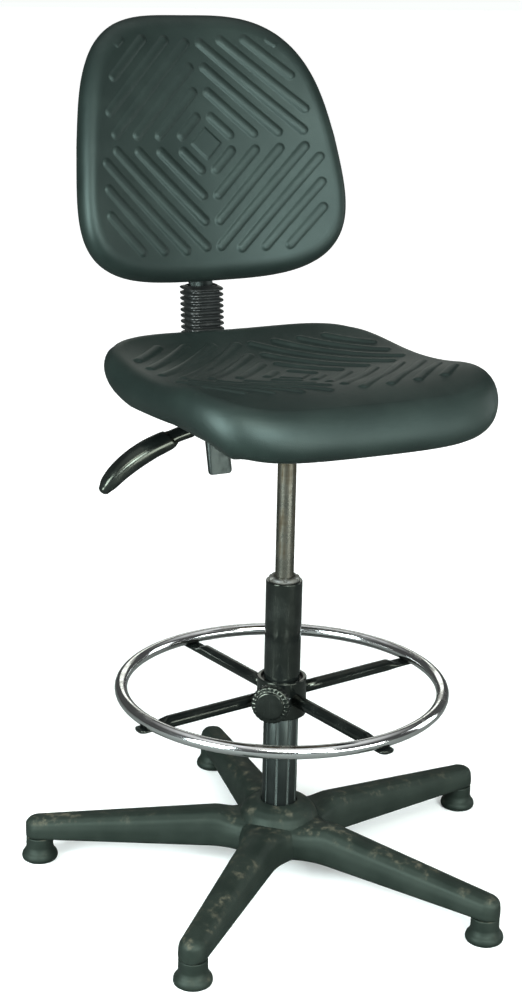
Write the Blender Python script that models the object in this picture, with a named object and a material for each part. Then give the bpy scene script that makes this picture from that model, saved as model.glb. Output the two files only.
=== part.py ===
"""Drafting chair: a five-armed base on glides, a fluted column with a sliding foot ring, a gas spring,
a moulded saddle seat with a height lever, and a moulded backrest on a leaning flat bar with a gaiter.

All lengths are in metres, +Z is up, and the sitter faces -Y. The pieces are laid out about the column axis,
and the whole chair is moved so that the middle of its plan is the origin.
"""
import math

import bmesh
import bpy
from mathutils import Matrix, Vector

# ---- Plan of the whole chair -------------------------------------------------------------------------
COLUMN_X = -0.0160  # column axis, measured from the middle of the chair's plan
COLUMN_Y = -0.0251
GAP = 0.0003  # running and seating clearance between touching pieces

# ---- Five-armed base ---------------------------------------------------------------------------------
ARM_COUNT = 5
ARM_PHASE = 9.2  # degrees, direction of the first arm from +X
GLIDE_CIRCLE = 0.3390
ARM_UNDERSIDE = 0.0360
ARM_ROOT_TOP = 0.0900
ARM_TIP_TOP = 0.0660
ARM_ROOT_HALF = 0.0275
ARM_TIP_HALF = 0.0195
ARM_INNER_END = 0.0330
ARM_ROOT_STATION = 0.0600
ARM_STATIONS = (ARM_INNER_END, 0.060, 0.150, 0.250, 0.320, GLIDE_CIRCLE)
TIP_TURN = (20.0, 40.0, 58.0, 74.0)  # degrees round the end of the arm
TIP_DROP = 0.0120  # how far the top rounds down at the very end
# Half of the arm's section, as shares of its half width and its height, from the keel line to the crest.
ARM_SECTION = ((0.80, 0.0), (0.97, 0.06), (1.0, 0.20), (0.98, 0.50), (0.86, 0.78), (0.55, 0.95), (0.20, 1.0))
POCKET_ENDS = ((0.080, 0.140), (0.144, 0.204), (0.208, 0.262), (0.266, 0.312))
POCKET_WALL = 0.0050
POCKET_ROOF = 0.0090
STEM_RADIUS = 0.0055
STEM_TOP = 0.0560
STEM_BOTTOM = 0.0120
STEM_CLEARANCE = 0.0003

HUB_BORE = 0.0246
HUB_PROFILE = (
    (HUB_BORE, 0.0330),
    (0.0500, 0.0330),
    (0.0545, 0.0370),
    (0.0565, 0.0460),
    (0.0565, 0.0680),
    (0.0550, 0.0800),
    (0.0505, 0.0900),
    (0.0425, 0.0975),
    (0.0330, 0.1015),
    (HUB_BORE, 0.1025),
)

# ---- Glides ------------------------------------------------------------------------------------------
GLIDE_TOP = ARM_UNDERSIDE - 0.0004
GLIDE_PROFILE = (
    (0.0210, 0.0000),
    (0.0245, 0.0020),
    (0.0256, 0.0062),
    (0.0245, 0.0105),
    (0.0208, 0.0150),
    (0.0191, 0.0200),
    (0.0190, GLIDE_TOP),
)

# ---- Column, sleeve and gas spring -------------------------------------------------------------------
COLUMN_RADIUS = 0.02425
COLUMN_BOTTOM = 0.0370
COLUMN_TOP = 0.2852
COLUMN_WALL_BORE = 0.0204
COLUMN_FLOOR = 0.0440
ROD_RADIUS = 0.0050
FLUTE_COUNT = 9
FLUTE_PHASE = -127.5
FLUTE_DEPTH = 0.0014
FLUTE_ANGLES = (-16.0, -10.5, -5.5, -3.0, 3.0, 5.5, 10.5, 16.0)  # degrees across one flute's period
FLUTE_SHARES = (0.0, 0.0, 0.0, 1.0, 1.0, 0.0, 0.0, 0.0)

SLEEVE_RADIUS = 0.0250
SLEEVE_BOTTOM = 0.2856
SLEEVE_TOP = 0.4280
SLEEVE_BORE = 0.0150
SPIGOT_RADIUS = 0.0200
SPIGOT_BOTTOM = 0.2400

BUSHING_TOP = 0.4335
BUSHING_SKIRT = 0.4000
BUSHING_NOTCHES = 6
BUSHING_NOTCH_WIDTH = 0.0040

CYLINDER_RADIUS = 0.0127
CYLINDER_BOTTOM = 0.3000
CYLINDER_TOP = 0.6322
CYLINDER_BORE = 0.0090
CYLINDER_CEILING = 0.6100
VALVE_SEAT = 0.6210
ROD_BOTTOM = 0.0330
PISTON_BOTTOM = 0.3220
PISTON_TOP = 0.3320
PISTON_RADIUS = 0.0086
BUTTON_RADIUS = 0.0040
BUTTON_BOTTOM = 0.6270
BUTTON_TOP = 0.6369

# ---- Foot ring ---------------------------------------------------------------------------------------
RING_RADIUS = 0.2220
RING_TUBE = 0.00875
RING_HEIGHT = 0.2730
RING_HUB_BOTTOM = 0.2340
RING_HUB_TOP = 0.2885
RING_HUB_RADIUS = 0.0343
RING_HUB_BORE = 0.0285
RING_LINER_TOP = 0.2840  # below the upper sleeve, which the hub's rim surrounds
SPOKE_COUNT = 4
SPOKE_PHASE = 9.6
SPOKE_HEIGHT = 0.2628
SPOKE_RADIUS = 0.0088
SPOKE_TAB_TOP = RING_HEIGHT - RING_TUBE - 0.0004
SPOKE_TAB_HALF = 0.0115
SPOKE_TAB_THICK = 0.0050
SPOKE_END = 0.2340
RING_KNOB_ANGLE = -130.0
RING_KNOB_HEIGHT = 0.2704
RING_KNOB_NECK = 0.0200
RING_KNOB_RADIUS = 0.0270
STUD_RADIUS = 0.0040
KNOB_LOBES = 24

# ---- Seat --------------------------------------------------------------------------------------------
SEAT_HALF_WIDTH = 0.2164
SEAT_FRONT = -0.2409
SEAT_REAR = 0.2025
SEAT_SQUARENESS = 4.8
SEAT_UNIT_X = 0.2300
SEAT_UNIT_Y = 0.2200
SEAT_MIDDLE = 0.71323
SEAT_FALL = -0.00377
SEAT_CURL = 0.04226
SEAT_SIDE_LIFT = 0.01792
SEAT_SIDE_FALL = -0.00476
SEAT_SIDE_CURL = -0.01226
SEAT_KNEE = 0.45
SEAT_WATERFALL = 0.1248
SEAT_THICKNESS = 0.05606
SEAT_THICKNESS_FALL = -0.00800
SEAT_SIDE_TUCK = 0.0090  # how far the lower edge rises along the sides, behind the knees
SEAT_TUCK_MIDDLE = -0.35
SEAT_TUCK_REACH = 0.60
SEAT_RIM_INSET = 0.0240
SEAT_UNDERSIDE = 0.6640
SEAT_UNDERSIDE_REACH = 0.78
CUSHION_STEPS = 44
RIM_ANGLES = (-90.0, -55.0, -20.0, 20.0, 55.0, 90.0)
CUSHION_RINGS = (0.66, 0.38, 0.14)

BOARD_HALF_X = 0.1150
BOARD_FRONT = -0.1500
BOARD_REAR = 0.1450
BOARD_BOTTOM = 0.6540
BOARD_TOP = 0.6636
SEAT_PLATE_BOTTOM = 0.6505
SEAT_PLATE_TOP = 0.6537
SEAT_PLATE_HALF_X = 0.0900
SEAT_PLATE_HALF_Y = 0.1050
SEAT_SCREW_X = 0.0750
SEAT_SCREW_Y = 0.0900
SCREW_RADIUS = 0.0030
SCREW_HEAD = 0.0055

# ---- Mechanism under the seat ------------------------------------------------------------------------
HOUSING_HALF_X = 0.0500
HOUSING_FRONT = -0.0580
HOUSING_REAR = 0.1650
HOUSING_BOTTOM = 0.6190
HOUSING_TOP = 0.6502
HOUSING_WALL = 0.0030
SOCKET_RADIUS = 0.0220
SOCKET_BOTTOM = 0.6060
SOCKET_TOP = 0.6320
SHAFT_RADIUS = 0.0060
TILT_Y = 0.1500
TILT_Z = 0.6280

# ---- Height lever ------------------------------------------------------------------------------------
LEVER_X = -0.0420
LEVER_Y = 0.0110
LEVER_Z = 0.6410
LEVER_THICK = 0.0075
LEVER_HALF = 0.0060
PIN_RADIUS = 0.0020
# Middle line of the steel lever in plan and height, from over the valve to inside the grip.
LEVER_LINE = (
    (0.0060, 0.0000, LEVER_Z),
    (LEVER_X, LEVER_Y, LEVER_Z),
    (-0.0620, 0.0155, LEVER_Z),
    (-0.1180, 0.0300, 0.6425),
    (-0.1400, 0.0320, 0.6405),
)
# Middle line of the grip with the half width and half thickness of its section.
GRIP_STATIONS = (
    (-0.1240, 0.0310, 0.6430, 0.0110, 0.0070),
    (-0.1300, 0.0315, 0.6420, 0.0130, 0.0085),
    (-0.1550, 0.0320, 0.6350, 0.0130, 0.0085),
    (-0.1600, 0.0320, 0.6320, 0.0160, 0.0120),
    (-0.1850, 0.0320, 0.6225, 0.0170, 0.0130),
    (-0.2080, 0.0320, 0.6105, 0.0165, 0.0130),
    (-0.2280, 0.0320, 0.5965, 0.0150, 0.0120),
    (-0.2420, 0.0320, 0.5830, 0.0130, 0.0100),
    (-0.2490, 0.0320, 0.5745, 0.0085, 0.0070),
)

# ---- Leaning back bar and its fittings ---------------------------------------------------------------
BAR_FOOT_Y = 0.2100
BAR_FOOT_Z = 0.5220
BACK_LEAN = 16.08  # degrees
BAR_LENGTH = 0.5000
BAR_HALF_WIDTH = 0.0172
BAR_HALF_THICK = 0.0040
BAR_CORNER = 0.0040
BAR_SOCKET_START = 0.0710
BAR_SOCKET_END = 0.1880
BAR_SOCKET_HALF_X = 0.0250
BAR_SOCKET_HALF_N = 0.0105
BACK_KNOB_STATION = 0.1200
BACK_KNOB_RADIUS = 0.0220
BACK_KNOB_NECK = 0.0060
BACK_ARM_HALF_X = 0.0200

BELLOWS_BOTTOM_Y = 0.2769
BELLOWS_BOTTOM_Z = 0.7120
BELLOWS_TOP_Y = 0.2837
BELLOWS_TOP_Z = 0.7860
BELLOWS_FINS = 9
BELLOWS_HALF_X = 0.0275
BELLOWS_HALF_Y = 0.0240
BELLOWS_ROOT_INSET = 0.0045
BELLOWS_WALL = 0.0015
BELLOWS_CORNER = 0.0090
BELLOWS_CUFF_TUCK = 0.0060

# ---- Backrest ----------------------------------------------------------------------------------------
PAD_STATION = 0.4641  # distance along the bar line to the middle of the backrest's face
PAD_FORWARD = 0.0685  # distance from the bar line forward to that point
PAD_HALF_WIDTH = 0.1949
PAD_TOP_REACH = 0.1895
PAD_BOTTOM_REACH = 0.1883
PAD_TOP_SQUARENESS = 3.27
PAD_BOTTOM_SQUARENESS = 3.84
PAD_TOP_TAPER = 0.157
PAD_BOTTOM_TAPER = 0.118
PAD_WRAP = 2.126  # per metre, sideways curvature towards the sitter
PAD_BELLY = -1.114  # per metre, curvature up the backrest
PAD_TWIST = -0.50
PAD_THICKNESS = 0.0480
PAD_SIDE_GROWTH = 0.0107  # extra thickness at the sides
PAD_END_FALL = 0.0080  # thickness lost at the top and the bottom
PAD_RIM_INSET = 0.0250
PAD_FLAT_X = 0.0500
PAD_FLAT_S = 0.0700
BLOCK_HALF_X = 0.0320
BLOCK_START = 0.4050
BLOCK_END = 0.4950
BACK_SCREW_STATIONS = (0.4280, 0.4720)

COLOURS = {
    "moulded_foam": ((0.020, 0.026, 0.024), 0.55, 0.0),
    "moulded_nylon": ((0.024, 0.030, 0.028), 0.62, 0.0),
    "glossy_plastic": ((0.010, 0.012, 0.012), 0.22, 0.0),
    "black_paint": ((0.012, 0.013, 0.014), 0.35, 0.0),
    "chrome": ((0.75, 0.75, 0.76), 0.10, 1.0),
    "worn_steel": ((0.30, 0.29, 0.27), 0.38, 1.0),
    "zinc": ((0.55, 0.56, 0.58), 0.35, 1.0),
    "soft_rubber": ((0.010, 0.011, 0.011), 0.35, 0.0),
    "grey_acetal": ((0.16, 0.16, 0.15), 0.45, 0.0),
    "birch_board": ((0.42, 0.31, 0.19), 0.60, 0.0),
}


def clear_scene():
    for item in list(bpy.data.objects):
        bpy.data.objects.remove(item)


def make_materials():
    made = {}
    for name, (colour, roughness, metallic) in COLOURS.items():
        material = bpy.data.materials.new(name)
        material.use_nodes = True
        shader = material.node_tree.nodes["Principled BSDF"]
        shader.inputs["Base Color"].default_value = (*colour, 1.0)
        shader.inputs["Roughness"].default_value = roughness
        shader.inputs["Metallic"].default_value = metallic
        made[name] = material
    return made


def empty(name, parent, location=(0.0, 0.0, 0.0), turn=None):
    """A pivot: an empty on a joint's axis, or at a fitting's datum."""
    item = bpy.data.objects.new(name, None)
    item.empty_display_size = 0.03
    bpy.context.scene.collection.objects.link(item)
    item.parent = parent
    item.location = location
    if turn is not None:
        item.rotation_euler = turn
    return item


def place(name, bm, material, parent, smooth=True, location=(0.0, 0.0, 0.0), turn=(0.0, 0.0, 0.0)):
    """Turns a bmesh into a named object under its pivot."""
    mesh = bpy.data.meshes.new(name)
    bm.to_mesh(mesh)
    bm.free()
    mesh.materials.append(material)
    for face in mesh.polygons:
        face.use_smooth = smooth
    item = bpy.data.objects.new(name, mesh)
    bpy.context.scene.collection.objects.link(item)
    item.parent = parent
    item.location = location
    item.rotation_euler = turn
    return item


def hide_tool(item):
    item.hide_render = True
    item.display_type = "WIRE"


def combine(target, tool, operation):
    """Adds an exact Boolean of a hidden tool object."""
    hide_tool(tool)
    modifier = target.modifiers.new(tool.name, "BOOLEAN")
    modifier.operation = operation
    modifier.solver = "EXACT"
    modifier.object = tool


def skin(loops, closed_path=False):
    """Joins equal loops of points into one closed skin, capped at both ends unless the path closes."""
    bm = bmesh.new()
    rings = [[bm.verts.new(point) for point in loop] for loop in loops]
    following = rings[1:] + ([rings[0]] if closed_path else [])
    count = len(rings[0])
    for ring, other in zip(rings, following):
        for i in range(count):
            j = (i + 1) % count
            bm.faces.new((ring[i], ring[j], other[j], other[i]))
    if not closed_path:
        bm.faces.new(rings[0])
        bm.faces.new(rings[-1])
    bmesh.ops.recalc_face_normals(bm, faces=bm.faces)
    return bm


def circle(radius, height, segments, phase=0.0):
    step = 2.0 * math.pi / segments
    start = math.radians(phase)
    return [(radius * math.cos(start + i * step), radius * math.sin(start + i * step), height)
            for i in range(segments)]


def turned(profile, segments, closed_path=False):
    """A turned solid about Z from (radius, height) points."""
    return skin([circle(radius, height, segments) for radius, height in profile], closed_path)


def prism(outline, low, high, axis="Z"):
    """An outline pushed along an axis; the outline gives the other two coordinates in order."""
    order = {"Z": lambda a, b, c: (a, b, c), "X": lambda a, b, c: (c, a, b), "Y": lambda a, b, c: (a, c, b)}[axis]
    return skin([[order(a, b, low) for a, b in outline], [order(a, b, high) for a, b in outline]])


def rounded_rectangle(half_a, half_b, corner, steps=3, centre=(0.0, 0.0)):
    """Outline of a rectangle with round corners, anticlockwise."""
    points = []
    corners = ((1, 1, 0), (-1, 1, 90), (-1, -1, 180), (1, -1, 270))
    for sign_a, sign_b, start in corners:
        for k in range(steps + 1):
            angle = math.radians(start + 90.0 * k / steps)
            points.append((centre[0] + sign_a * (half_a - corner) + corner * math.cos(angle),
                           centre[1] + sign_b * (half_b - corner) + corner * math.sin(angle)))
    return points


def box(low, high):
    outline = [(low[0], low[1]), (high[0], low[1]), (high[0], high[1]), (low[0], high[1])]
    return prism(outline, low[2], high[2])


def join(parts):
    """Several separate solids in one bmesh, for a tool with many bits."""
    whole = bmesh.new()
    for part in parts:
        mesh = bpy.data.meshes.new("bit")
        part.to_mesh(mesh)
        part.free()
        whole.from_mesh(mesh)
        bpy.data.meshes.remove(mesh)
    return whole


def turned_about(bm, degrees):
    bmesh.ops.transform(bm, matrix=Matrix.Rotation(math.radians(degrees), 4, "Z"), verts=bm.verts)
    return bm


# ---- Base --------------------------------------------------------------------------------------------
def arm_half_width(radius):
    share = (radius - ARM_ROOT_STATION) / (GLIDE_CIRCLE - ARM_ROOT_STATION)
    return ARM_ROOT_HALF + (ARM_TIP_HALF - ARM_ROOT_HALF) * share


def arm_top(radius):
    share = (radius - ARM_ROOT_STATION) / (GLIDE_CIRCLE - ARM_ROOT_STATION)
    return ARM_ROOT_TOP + (ARM_TIP_TOP - ARM_ROOT_TOP) * share


def arm_loop(radius, half_width, top):
    """One section across the arm: flat keel, upright sides and a crowned top."""
    height = top - ARM_UNDERSIDE
    right = [(radius, half_width * a, ARM_UNDERSIDE + height * b) for a, b in ARM_SECTION]
    left = [(radius, -half_width * a, ARM_UNDERSIDE + height * b) for a, b in reversed(ARM_SECTION)]
    return right + left


def arm_solid():
    """A tapering arm whose end turns round the glide."""
    loops = [arm_loop(r, arm_half_width(r), arm_top(r)) for r in ARM_STATIONS]
    for degrees in TIP_TURN:
        angle = math.radians(degrees)
        loops.append(arm_loop(
            GLIDE_CIRCLE + ARM_TIP_HALF * math.sin(angle),
            ARM_TIP_HALF * math.cos(angle),
            ARM_TIP_TOP - TIP_DROP * (1.0 - math.cos(angle)),
        ))
    return skin(loops)


def pocket_solid(start, end):
    """One hollow between the ribs under an arm, narrower at its roof."""
    loops = []
    for radius in (start, end):
        wide = arm_half_width(radius) - POCKET_WALL
        narrow = wide * 0.72
        roof = arm_top(radius) - POCKET_ROOF
        floor = ARM_UNDERSIDE - 0.006
        loops.append([(radius, wide, floor), (radius, narrow, roof), (radius, -narrow, roof), (radius, -wide, floor)])
    return skin(loops)


def build_base(material, parent):
    star = place("base_star", turned(HUB_PROFILE, 40, True), material["moulded_nylon"], parent)
    hollows = []
    for index in range(ARM_COUNT):
        heading = ARM_PHASE + index * 360.0 / ARM_COUNT
        arm = place("arm_tool_%d" % (index + 1), turned_about(arm_solid(), heading), material["moulded_nylon"], parent)
        combine(star, arm, "UNION")
        for start, end in POCKET_ENDS:
            hollows.append(turned_about(pocket_solid(start, end), heading))
        hole = turned(((STEM_RADIUS + STEM_CLEARANCE, 0.030), (STEM_RADIUS + STEM_CLEARANCE, STEM_TOP + 0.002)), 12)
        bmesh.ops.translate(hole, vec=(GLIDE_CIRCLE, 0.0, 0.0), verts=hole.verts)
        hollows.append(turned_about(hole, heading))
    pockets = place("pocket_tool", join(hollows), material["moulded_nylon"], parent)
    combine(star, pockets, "DIFFERENCE")
    bore = turned(((HUB_BORE, 0.020), (HUB_BORE, 0.120)), 40)
    combine(star, place("bore_tool", bore, material["moulded_nylon"], parent), "DIFFERENCE")


def build_glides(material, parent):
    """Five nylon glides, each on a steel stem pressed up into the arm's end."""
    bore = STEM_RADIUS + STEM_CLEARANCE
    profile = GLIDE_PROFILE + ((bore, GLIDE_TOP), (bore, STEM_BOTTOM - 0.001))
    for index in range(ARM_COUNT):
        heading = math.radians(ARM_PHASE + index * 360.0 / ARM_COUNT)
        spot = (GLIDE_CIRCLE * math.cos(heading), GLIDE_CIRCLE * math.sin(heading), 0.0)
        place("glide_%d" % (index + 1), turned(profile, 20), material["moulded_nylon"], parent, True, spot)
        stem = turned(((STEM_RADIUS, STEM_BOTTOM), (STEM_RADIUS, STEM_TOP)), 10)
        place("glide_stem_%d" % (index + 1), stem, material["zinc"], parent, True, spot)


# ---- Column and gas spring ---------------------------------------------------------------------------
def fluted_loop(height):
    points = []
    for index in range(FLUTE_COUNT):
        middle = FLUTE_PHASE + index * 360.0 / FLUTE_COUNT
        for offset, share in zip(FLUTE_ANGLES, FLUTE_SHARES):
            angle = math.radians(middle + offset)
            radius = COLUMN_RADIUS - FLUTE_DEPTH * share
            points.append((radius * math.cos(angle), radius * math.sin(angle), height))
    return points


def scaled_loop(radius, height):
    """The fluted loop's angles on a plain circle, so the bore matches the outside point for point."""
    points = []
    for x, y, _ in fluted_loop(height):
        size = math.hypot(x, y)
        points.append((radius * x / size, radius * y / size, height))
    return points


def build_column(material, parent):
    rod_hole = ROD_RADIUS + GAP
    loops = [
        fluted_loop(COLUMN_BOTTOM),
        fluted_loop(COLUMN_TOP),
        scaled_loop(COLUMN_WALL_BORE, COLUMN_TOP),
        scaled_loop(COLUMN_WALL_BORE, COLUMN_FLOOR),
        scaled_loop(rod_hole, COLUMN_FLOOR),
        scaled_loop(rod_hole, COLUMN_BOTTOM),
    ]
    place("fluted_column", skin(loops, True), material["black_paint"], parent, False)
    sleeve = (
        (SLEEVE_BORE, SPIGOT_BOTTOM),
        (SPIGOT_RADIUS, SPIGOT_BOTTOM),
        (SPIGOT_RADIUS, SLEEVE_BOTTOM),
        (SLEEVE_RADIUS, SLEEVE_BOTTOM),
        (SLEEVE_RADIUS, SLEEVE_TOP - 0.001),
        (SLEEVE_RADIUS - 0.001, SLEEVE_TOP),
        (SLEEVE_BORE, SLEEVE_TOP),
    )
    place("upper_sleeve", turned(sleeve, 36, True), material["glossy_plastic"], parent)
    bearing = ((ROD_RADIUS + GAP, 0.0443), (0.0180, 0.0443), (0.0180, 0.0503), (ROD_RADIUS + GAP, 0.0503))
    place("thrust_bearing", turned(bearing, 20, True), material["zinc"], parent)
    build_bushing(material, parent)


def build_bushing(material, parent):
    inner = CYLINDER_RADIUS + 0.0004
    profile = (
        (inner, BUSHING_SKIRT),
        (SLEEVE_BORE - GAP, BUSHING_SKIRT),
        (SLEEVE_BORE - GAP, SLEEVE_TOP + GAP),
        (0.0215, SLEEVE_TOP + GAP),
        (0.0205, BUSHING_TOP),
        (inner, BUSHING_TOP),
    )
    bushing = place("guide_bushing", turned(profile, 36, True), material["grey_acetal"], parent)
    bits = []
    for index in range(BUSHING_NOTCHES):
        bit = box((0.0165, -BUSHING_NOTCH_WIDTH / 2.0, 0.4305), (0.0300, BUSHING_NOTCH_WIDTH / 2.0, 0.4400))
        bits.append(turned_about(bit, 7.0 + index * 360.0 / BUSHING_NOTCHES))
    combine(bushing, place("notch_tool", join(bits), material["grey_acetal"], parent), "DIFFERENCE")


def build_rod(material, parent):
    """The gas spring's rod: clip, thin rod and piston, turning in the foot of the column."""
    rod = (
        (0.0085, ROD_BOTTOM),
        (0.0085, COLUMN_BOTTOM - GAP),
        (ROD_RADIUS, COLUMN_BOTTOM - GAP),
        (ROD_RADIUS, PISTON_BOTTOM),
        (PISTON_RADIUS, PISTON_BOTTOM),
        (PISTON_RADIUS, PISTON_TOP),
    )
    place("gas_rod", turned(rod, 16), material["worn_steel"], parent)


def build_cylinder(material, parent):
    cylinder = (
        (CYLINDER_BORE, CYLINDER_CEILING),
        (CYLINDER_BORE, CYLINDER_BOTTOM),
        (CYLINDER_RADIUS, CYLINDER_BOTTOM),
        (CYLINDER_RADIUS, CYLINDER_TOP),
        (BUTTON_RADIUS + GAP, CYLINDER_TOP),
        (BUTTON_RADIUS + GAP, VALVE_SEAT),
    )
    place("gas_cylinder", turned(cylinder, 32), material["worn_steel"], parent)
    gland = (
        (ROD_RADIUS + GAP, CYLINDER_BOTTOM + 0.001),
        (CYLINDER_BORE - GAP, CYLINDER_BOTTOM + 0.001),
        (CYLINDER_BORE - GAP, CYLINDER_BOTTOM + 0.009),
        (ROD_RADIUS + GAP, CYLINDER_BOTTOM + 0.009),
    )
    place("cylinder_gland", turned(gland, 20, True), material["grey_acetal"], parent)


def build_valve(material, parent):
    button = ((BUTTON_RADIUS, BUTTON_BOTTOM), (BUTTON_RADIUS, BUTTON_TOP - 0.001), (0.0032, BUTTON_TOP))
    place("valve_button", turned(button, 12), material["zinc"], parent)


# ---- Foot ring ---------------------------------------------------------------------------------------
def build_ring(material, parent):
    around = 64
    across = 12
    loops = []
    for i in range(around):
        angle = 2.0 * math.pi * i / around
        loop = []
        for k in range(across):
            turn = 2.0 * math.pi * k / across
            radius = RING_RADIUS + RING_TUBE * math.cos(turn)
            loop.append((radius * math.cos(angle), radius * math.sin(angle), RING_HEIGHT + RING_TUBE * math.sin(turn)))
        loops.append(loop)
    place("foot_ring", skin(loops, True), material["chrome"], parent)


def spoke_loop(radius, half_width, low, high):
    """An oval section across a spoke."""
    middle = (low + high) / 2.0
    half = (high - low) / 2.0
    loop = []
    for k in range(12):
        angle = 2.0 * math.pi * k / 12
        loop.append((radius, half_width * math.cos(angle), middle + half * math.sin(angle)))
    return loop


def spoke_solid():
    """A round tube from the hub, pressed flat where it passes under the ring."""
    low = SPOKE_HEIGHT - SPOKE_RADIUS
    high = SPOKE_HEIGHT + SPOKE_RADIUS
    tab_low = SPOKE_TAB_TOP - SPOKE_TAB_THICK
    start = RING_HUB_RADIUS + GAP
    loops = [
        spoke_loop(start, SPOKE_RADIUS, low, high),
        spoke_loop(0.1850, SPOKE_RADIUS, low, high),
        spoke_loop(0.2050, SPOKE_TAB_HALF, tab_low, SPOKE_TAB_TOP),
        spoke_loop(0.2300, SPOKE_TAB_HALF, tab_low, SPOKE_TAB_TOP),
        spoke_loop(SPOKE_END, SPOKE_TAB_HALF * 0.7, tab_low, SPOKE_TAB_TOP),
    ]
    return skin(loops)


def stud_hole(parent, material, name, start, end, height):
    """A radial drill for a clamp stud, pointing away from the column towards the knob."""
    drill = turned(((STUD_RADIUS + 0.0004, start), (STUD_RADIUS + 0.0004, end)), 14)
    return place(name, drill, material, parent, True, (0.0, 0.0, height), knob_turn())


def knob_turn():
    """Turns a piece's own +Z to point out along the ring knob's heading."""
    return (0.0, math.pi / 2.0, math.radians(RING_KNOB_ANGLE))


def build_ring_hub(material, parent):
    hub = (
        (RING_HUB_BORE, RING_HUB_BOTTOM),
        (RING_HUB_RADIUS - 0.0015, RING_HUB_BOTTOM),
        (RING_HUB_RADIUS, RING_HUB_BOTTOM + 0.0015),
        (RING_HUB_RADIUS, RING_HUB_TOP - 0.0015),
        (RING_HUB_RADIUS - 0.0015, RING_HUB_TOP),
        (RING_HUB_BORE, RING_HUB_TOP),
    )
    shell = place("ring_hub", turned(hub, 40, True), material["glossy_plastic"], parent)
    combine(shell, stud_hole(parent, material["zinc"], "hub_drill", 0.020, 0.045, RING_KNOB_HEIGHT), "DIFFERENCE")
    liner = (
        (COLUMN_RADIUS + 0.00035, RING_HUB_BOTTOM + 0.001),
        (RING_HUB_BORE - GAP, RING_HUB_BOTTOM + 0.001),
        (RING_HUB_BORE - GAP, RING_LINER_TOP),
        (COLUMN_RADIUS + 0.00035, RING_LINER_TOP),
    )
    sleeve = place("ring_bushing", turned(liner, 40, True), material["grey_acetal"], parent)
    combine(sleeve, stud_hole(parent, material["zinc"], "liner_drill", 0.020, 0.045, RING_KNOB_HEIGHT), "DIFFERENCE")
    for index in range(SPOKE_COUNT):
        heading = SPOKE_PHASE + index * 360.0 / SPOKE_COUNT
        solid = turned_about(spoke_solid(), heading)
        place("spoke_%d" % (index + 1), solid, material["glossy_plastic"], parent)


def knob_solid(radius, stud_reach, neck):
    """A lobed clamp knob along +Z from its neck to its raised cap, with a blind bore for its stud."""
    steps = KNOB_LOBES * 4

    def lobed(size, height, share):
        loop = []
        for i in range(steps):
            angle = 2.0 * math.pi * i / steps
            reach = size * (1.0 - share * 0.5 * (1.0 - math.cos(KNOB_LOBES * angle)))
            loop.append((reach * math.cos(angle), reach * math.sin(angle), height))
        return loop

    bore = STUD_RADIUS + GAP
    return skin([
        lobed(bore, stud_reach, 0.0),
        lobed(bore, 0.0, 0.0),
        lobed(radius * 0.42, 0.0, 0.0),
        lobed(radius * 0.44, neck, 0.0),
        lobed(radius * 0.96, neck + 0.0010, 0.04),
        lobed(radius, neck + 0.0030, 0.04),
        lobed(radius, neck + 0.0115, 0.04),
        lobed(radius * 0.93, neck + 0.0135, 0.03),
        lobed(radius * 0.74, neck + 0.0140, 0.0),
        lobed(radius * 0.70, neck + 0.0165, 0.0),
    ])


def build_ring_knob(material, parent):
    """Origins on the stud's axis, which points out from the column."""
    turn = knob_turn()
    stud = turned(((STUD_RADIUS, COLUMN_RADIUS + 0.0004), (STUD_RADIUS, 0.0500)), 12)
    place("ring_knob_stud", stud, material["zinc"], parent, True, (0.0, 0.0, 0.0), turn)
    knob = knob_solid(RING_KNOB_RADIUS, 0.0170, RING_KNOB_NECK)
    bmesh.ops.translate(knob, vec=(0.0, 0.0, RING_HUB_RADIUS + 0.0010), verts=knob.verts)
    place("ring_knob", knob, material["glossy_plastic"], parent, True, (0.0, 0.0, 0.0), turn)


# ---- Cushions ----------------------------------------------------------------------------------------
def cushion_loops(outline, upper, lower, inset):
    """Loops of a pad from the middle of its underside, round the rim, to the middle of its face.

    A rim point at angle f stands (1 - cos f) * inset inside the outline and (1 + sin f) / 2 of the way up.
    """
    loops = []
    for ring in reversed(CUSHION_RINGS):
        loops.append([(a * ring, b * ring, lower(a * ring, b * ring)) for a, b in outline])
    for degrees in RIM_ANGLES:
        angle = math.radians(degrees)
        loop = []
        for a, b in outline:
            size = math.hypot(a, b)
            share = 1.0 - (1.0 - math.cos(angle)) * inset / size
            x = a * share
            y = b * share
            low = lower(x, y)
            loop.append((x, y, low + (upper(x, y) - low) * (1.0 + math.sin(angle)) / 2.0))
        loops.append(loop)
    for ring in CUSHION_RINGS:
        loops.append([(a * ring, b * ring, upper(a * ring, b * ring)) for a, b in outline])
    return loops


def seat_outline():
    """A squared oval about the middle of the seat, given from that middle."""
    half_y = (SEAT_REAR - SEAT_FRONT) / 2.0
    points = []
    for i in range(CUSHION_STEPS):
        angle = 2.0 * math.pi * (i + 0.5) / CUSHION_STEPS
        c = math.cos(angle)
        s = math.sin(angle)
        reach = (abs(c) ** SEAT_SQUARENESS + abs(s) ** SEAT_SQUARENESS) ** (-1.0 / SEAT_SQUARENESS)
        points.append((SEAT_HALF_WIDTH * reach * c, half_y * reach * s))
    return points


def seat_middle_y():
    return (SEAT_REAR + SEAT_FRONT) / 2.0


def seat_upper(x, y):
    """Height of the saddle: sides and rear lifted, front falling away past the knee line."""
    u = x / SEAT_UNIT_X
    v = (y + seat_middle_y()) / SEAT_UNIT_Y
    past_knee = min(v + SEAT_KNEE, 0.0)
    sides = SEAT_SIDE_LIFT + SEAT_SIDE_FALL * v + SEAT_SIDE_CURL * v * v
    return SEAT_MIDDLE + SEAT_FALL * v + SEAT_CURL * v * v + u * u * sides - SEAT_WATERFALL * past_knee ** 2


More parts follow.
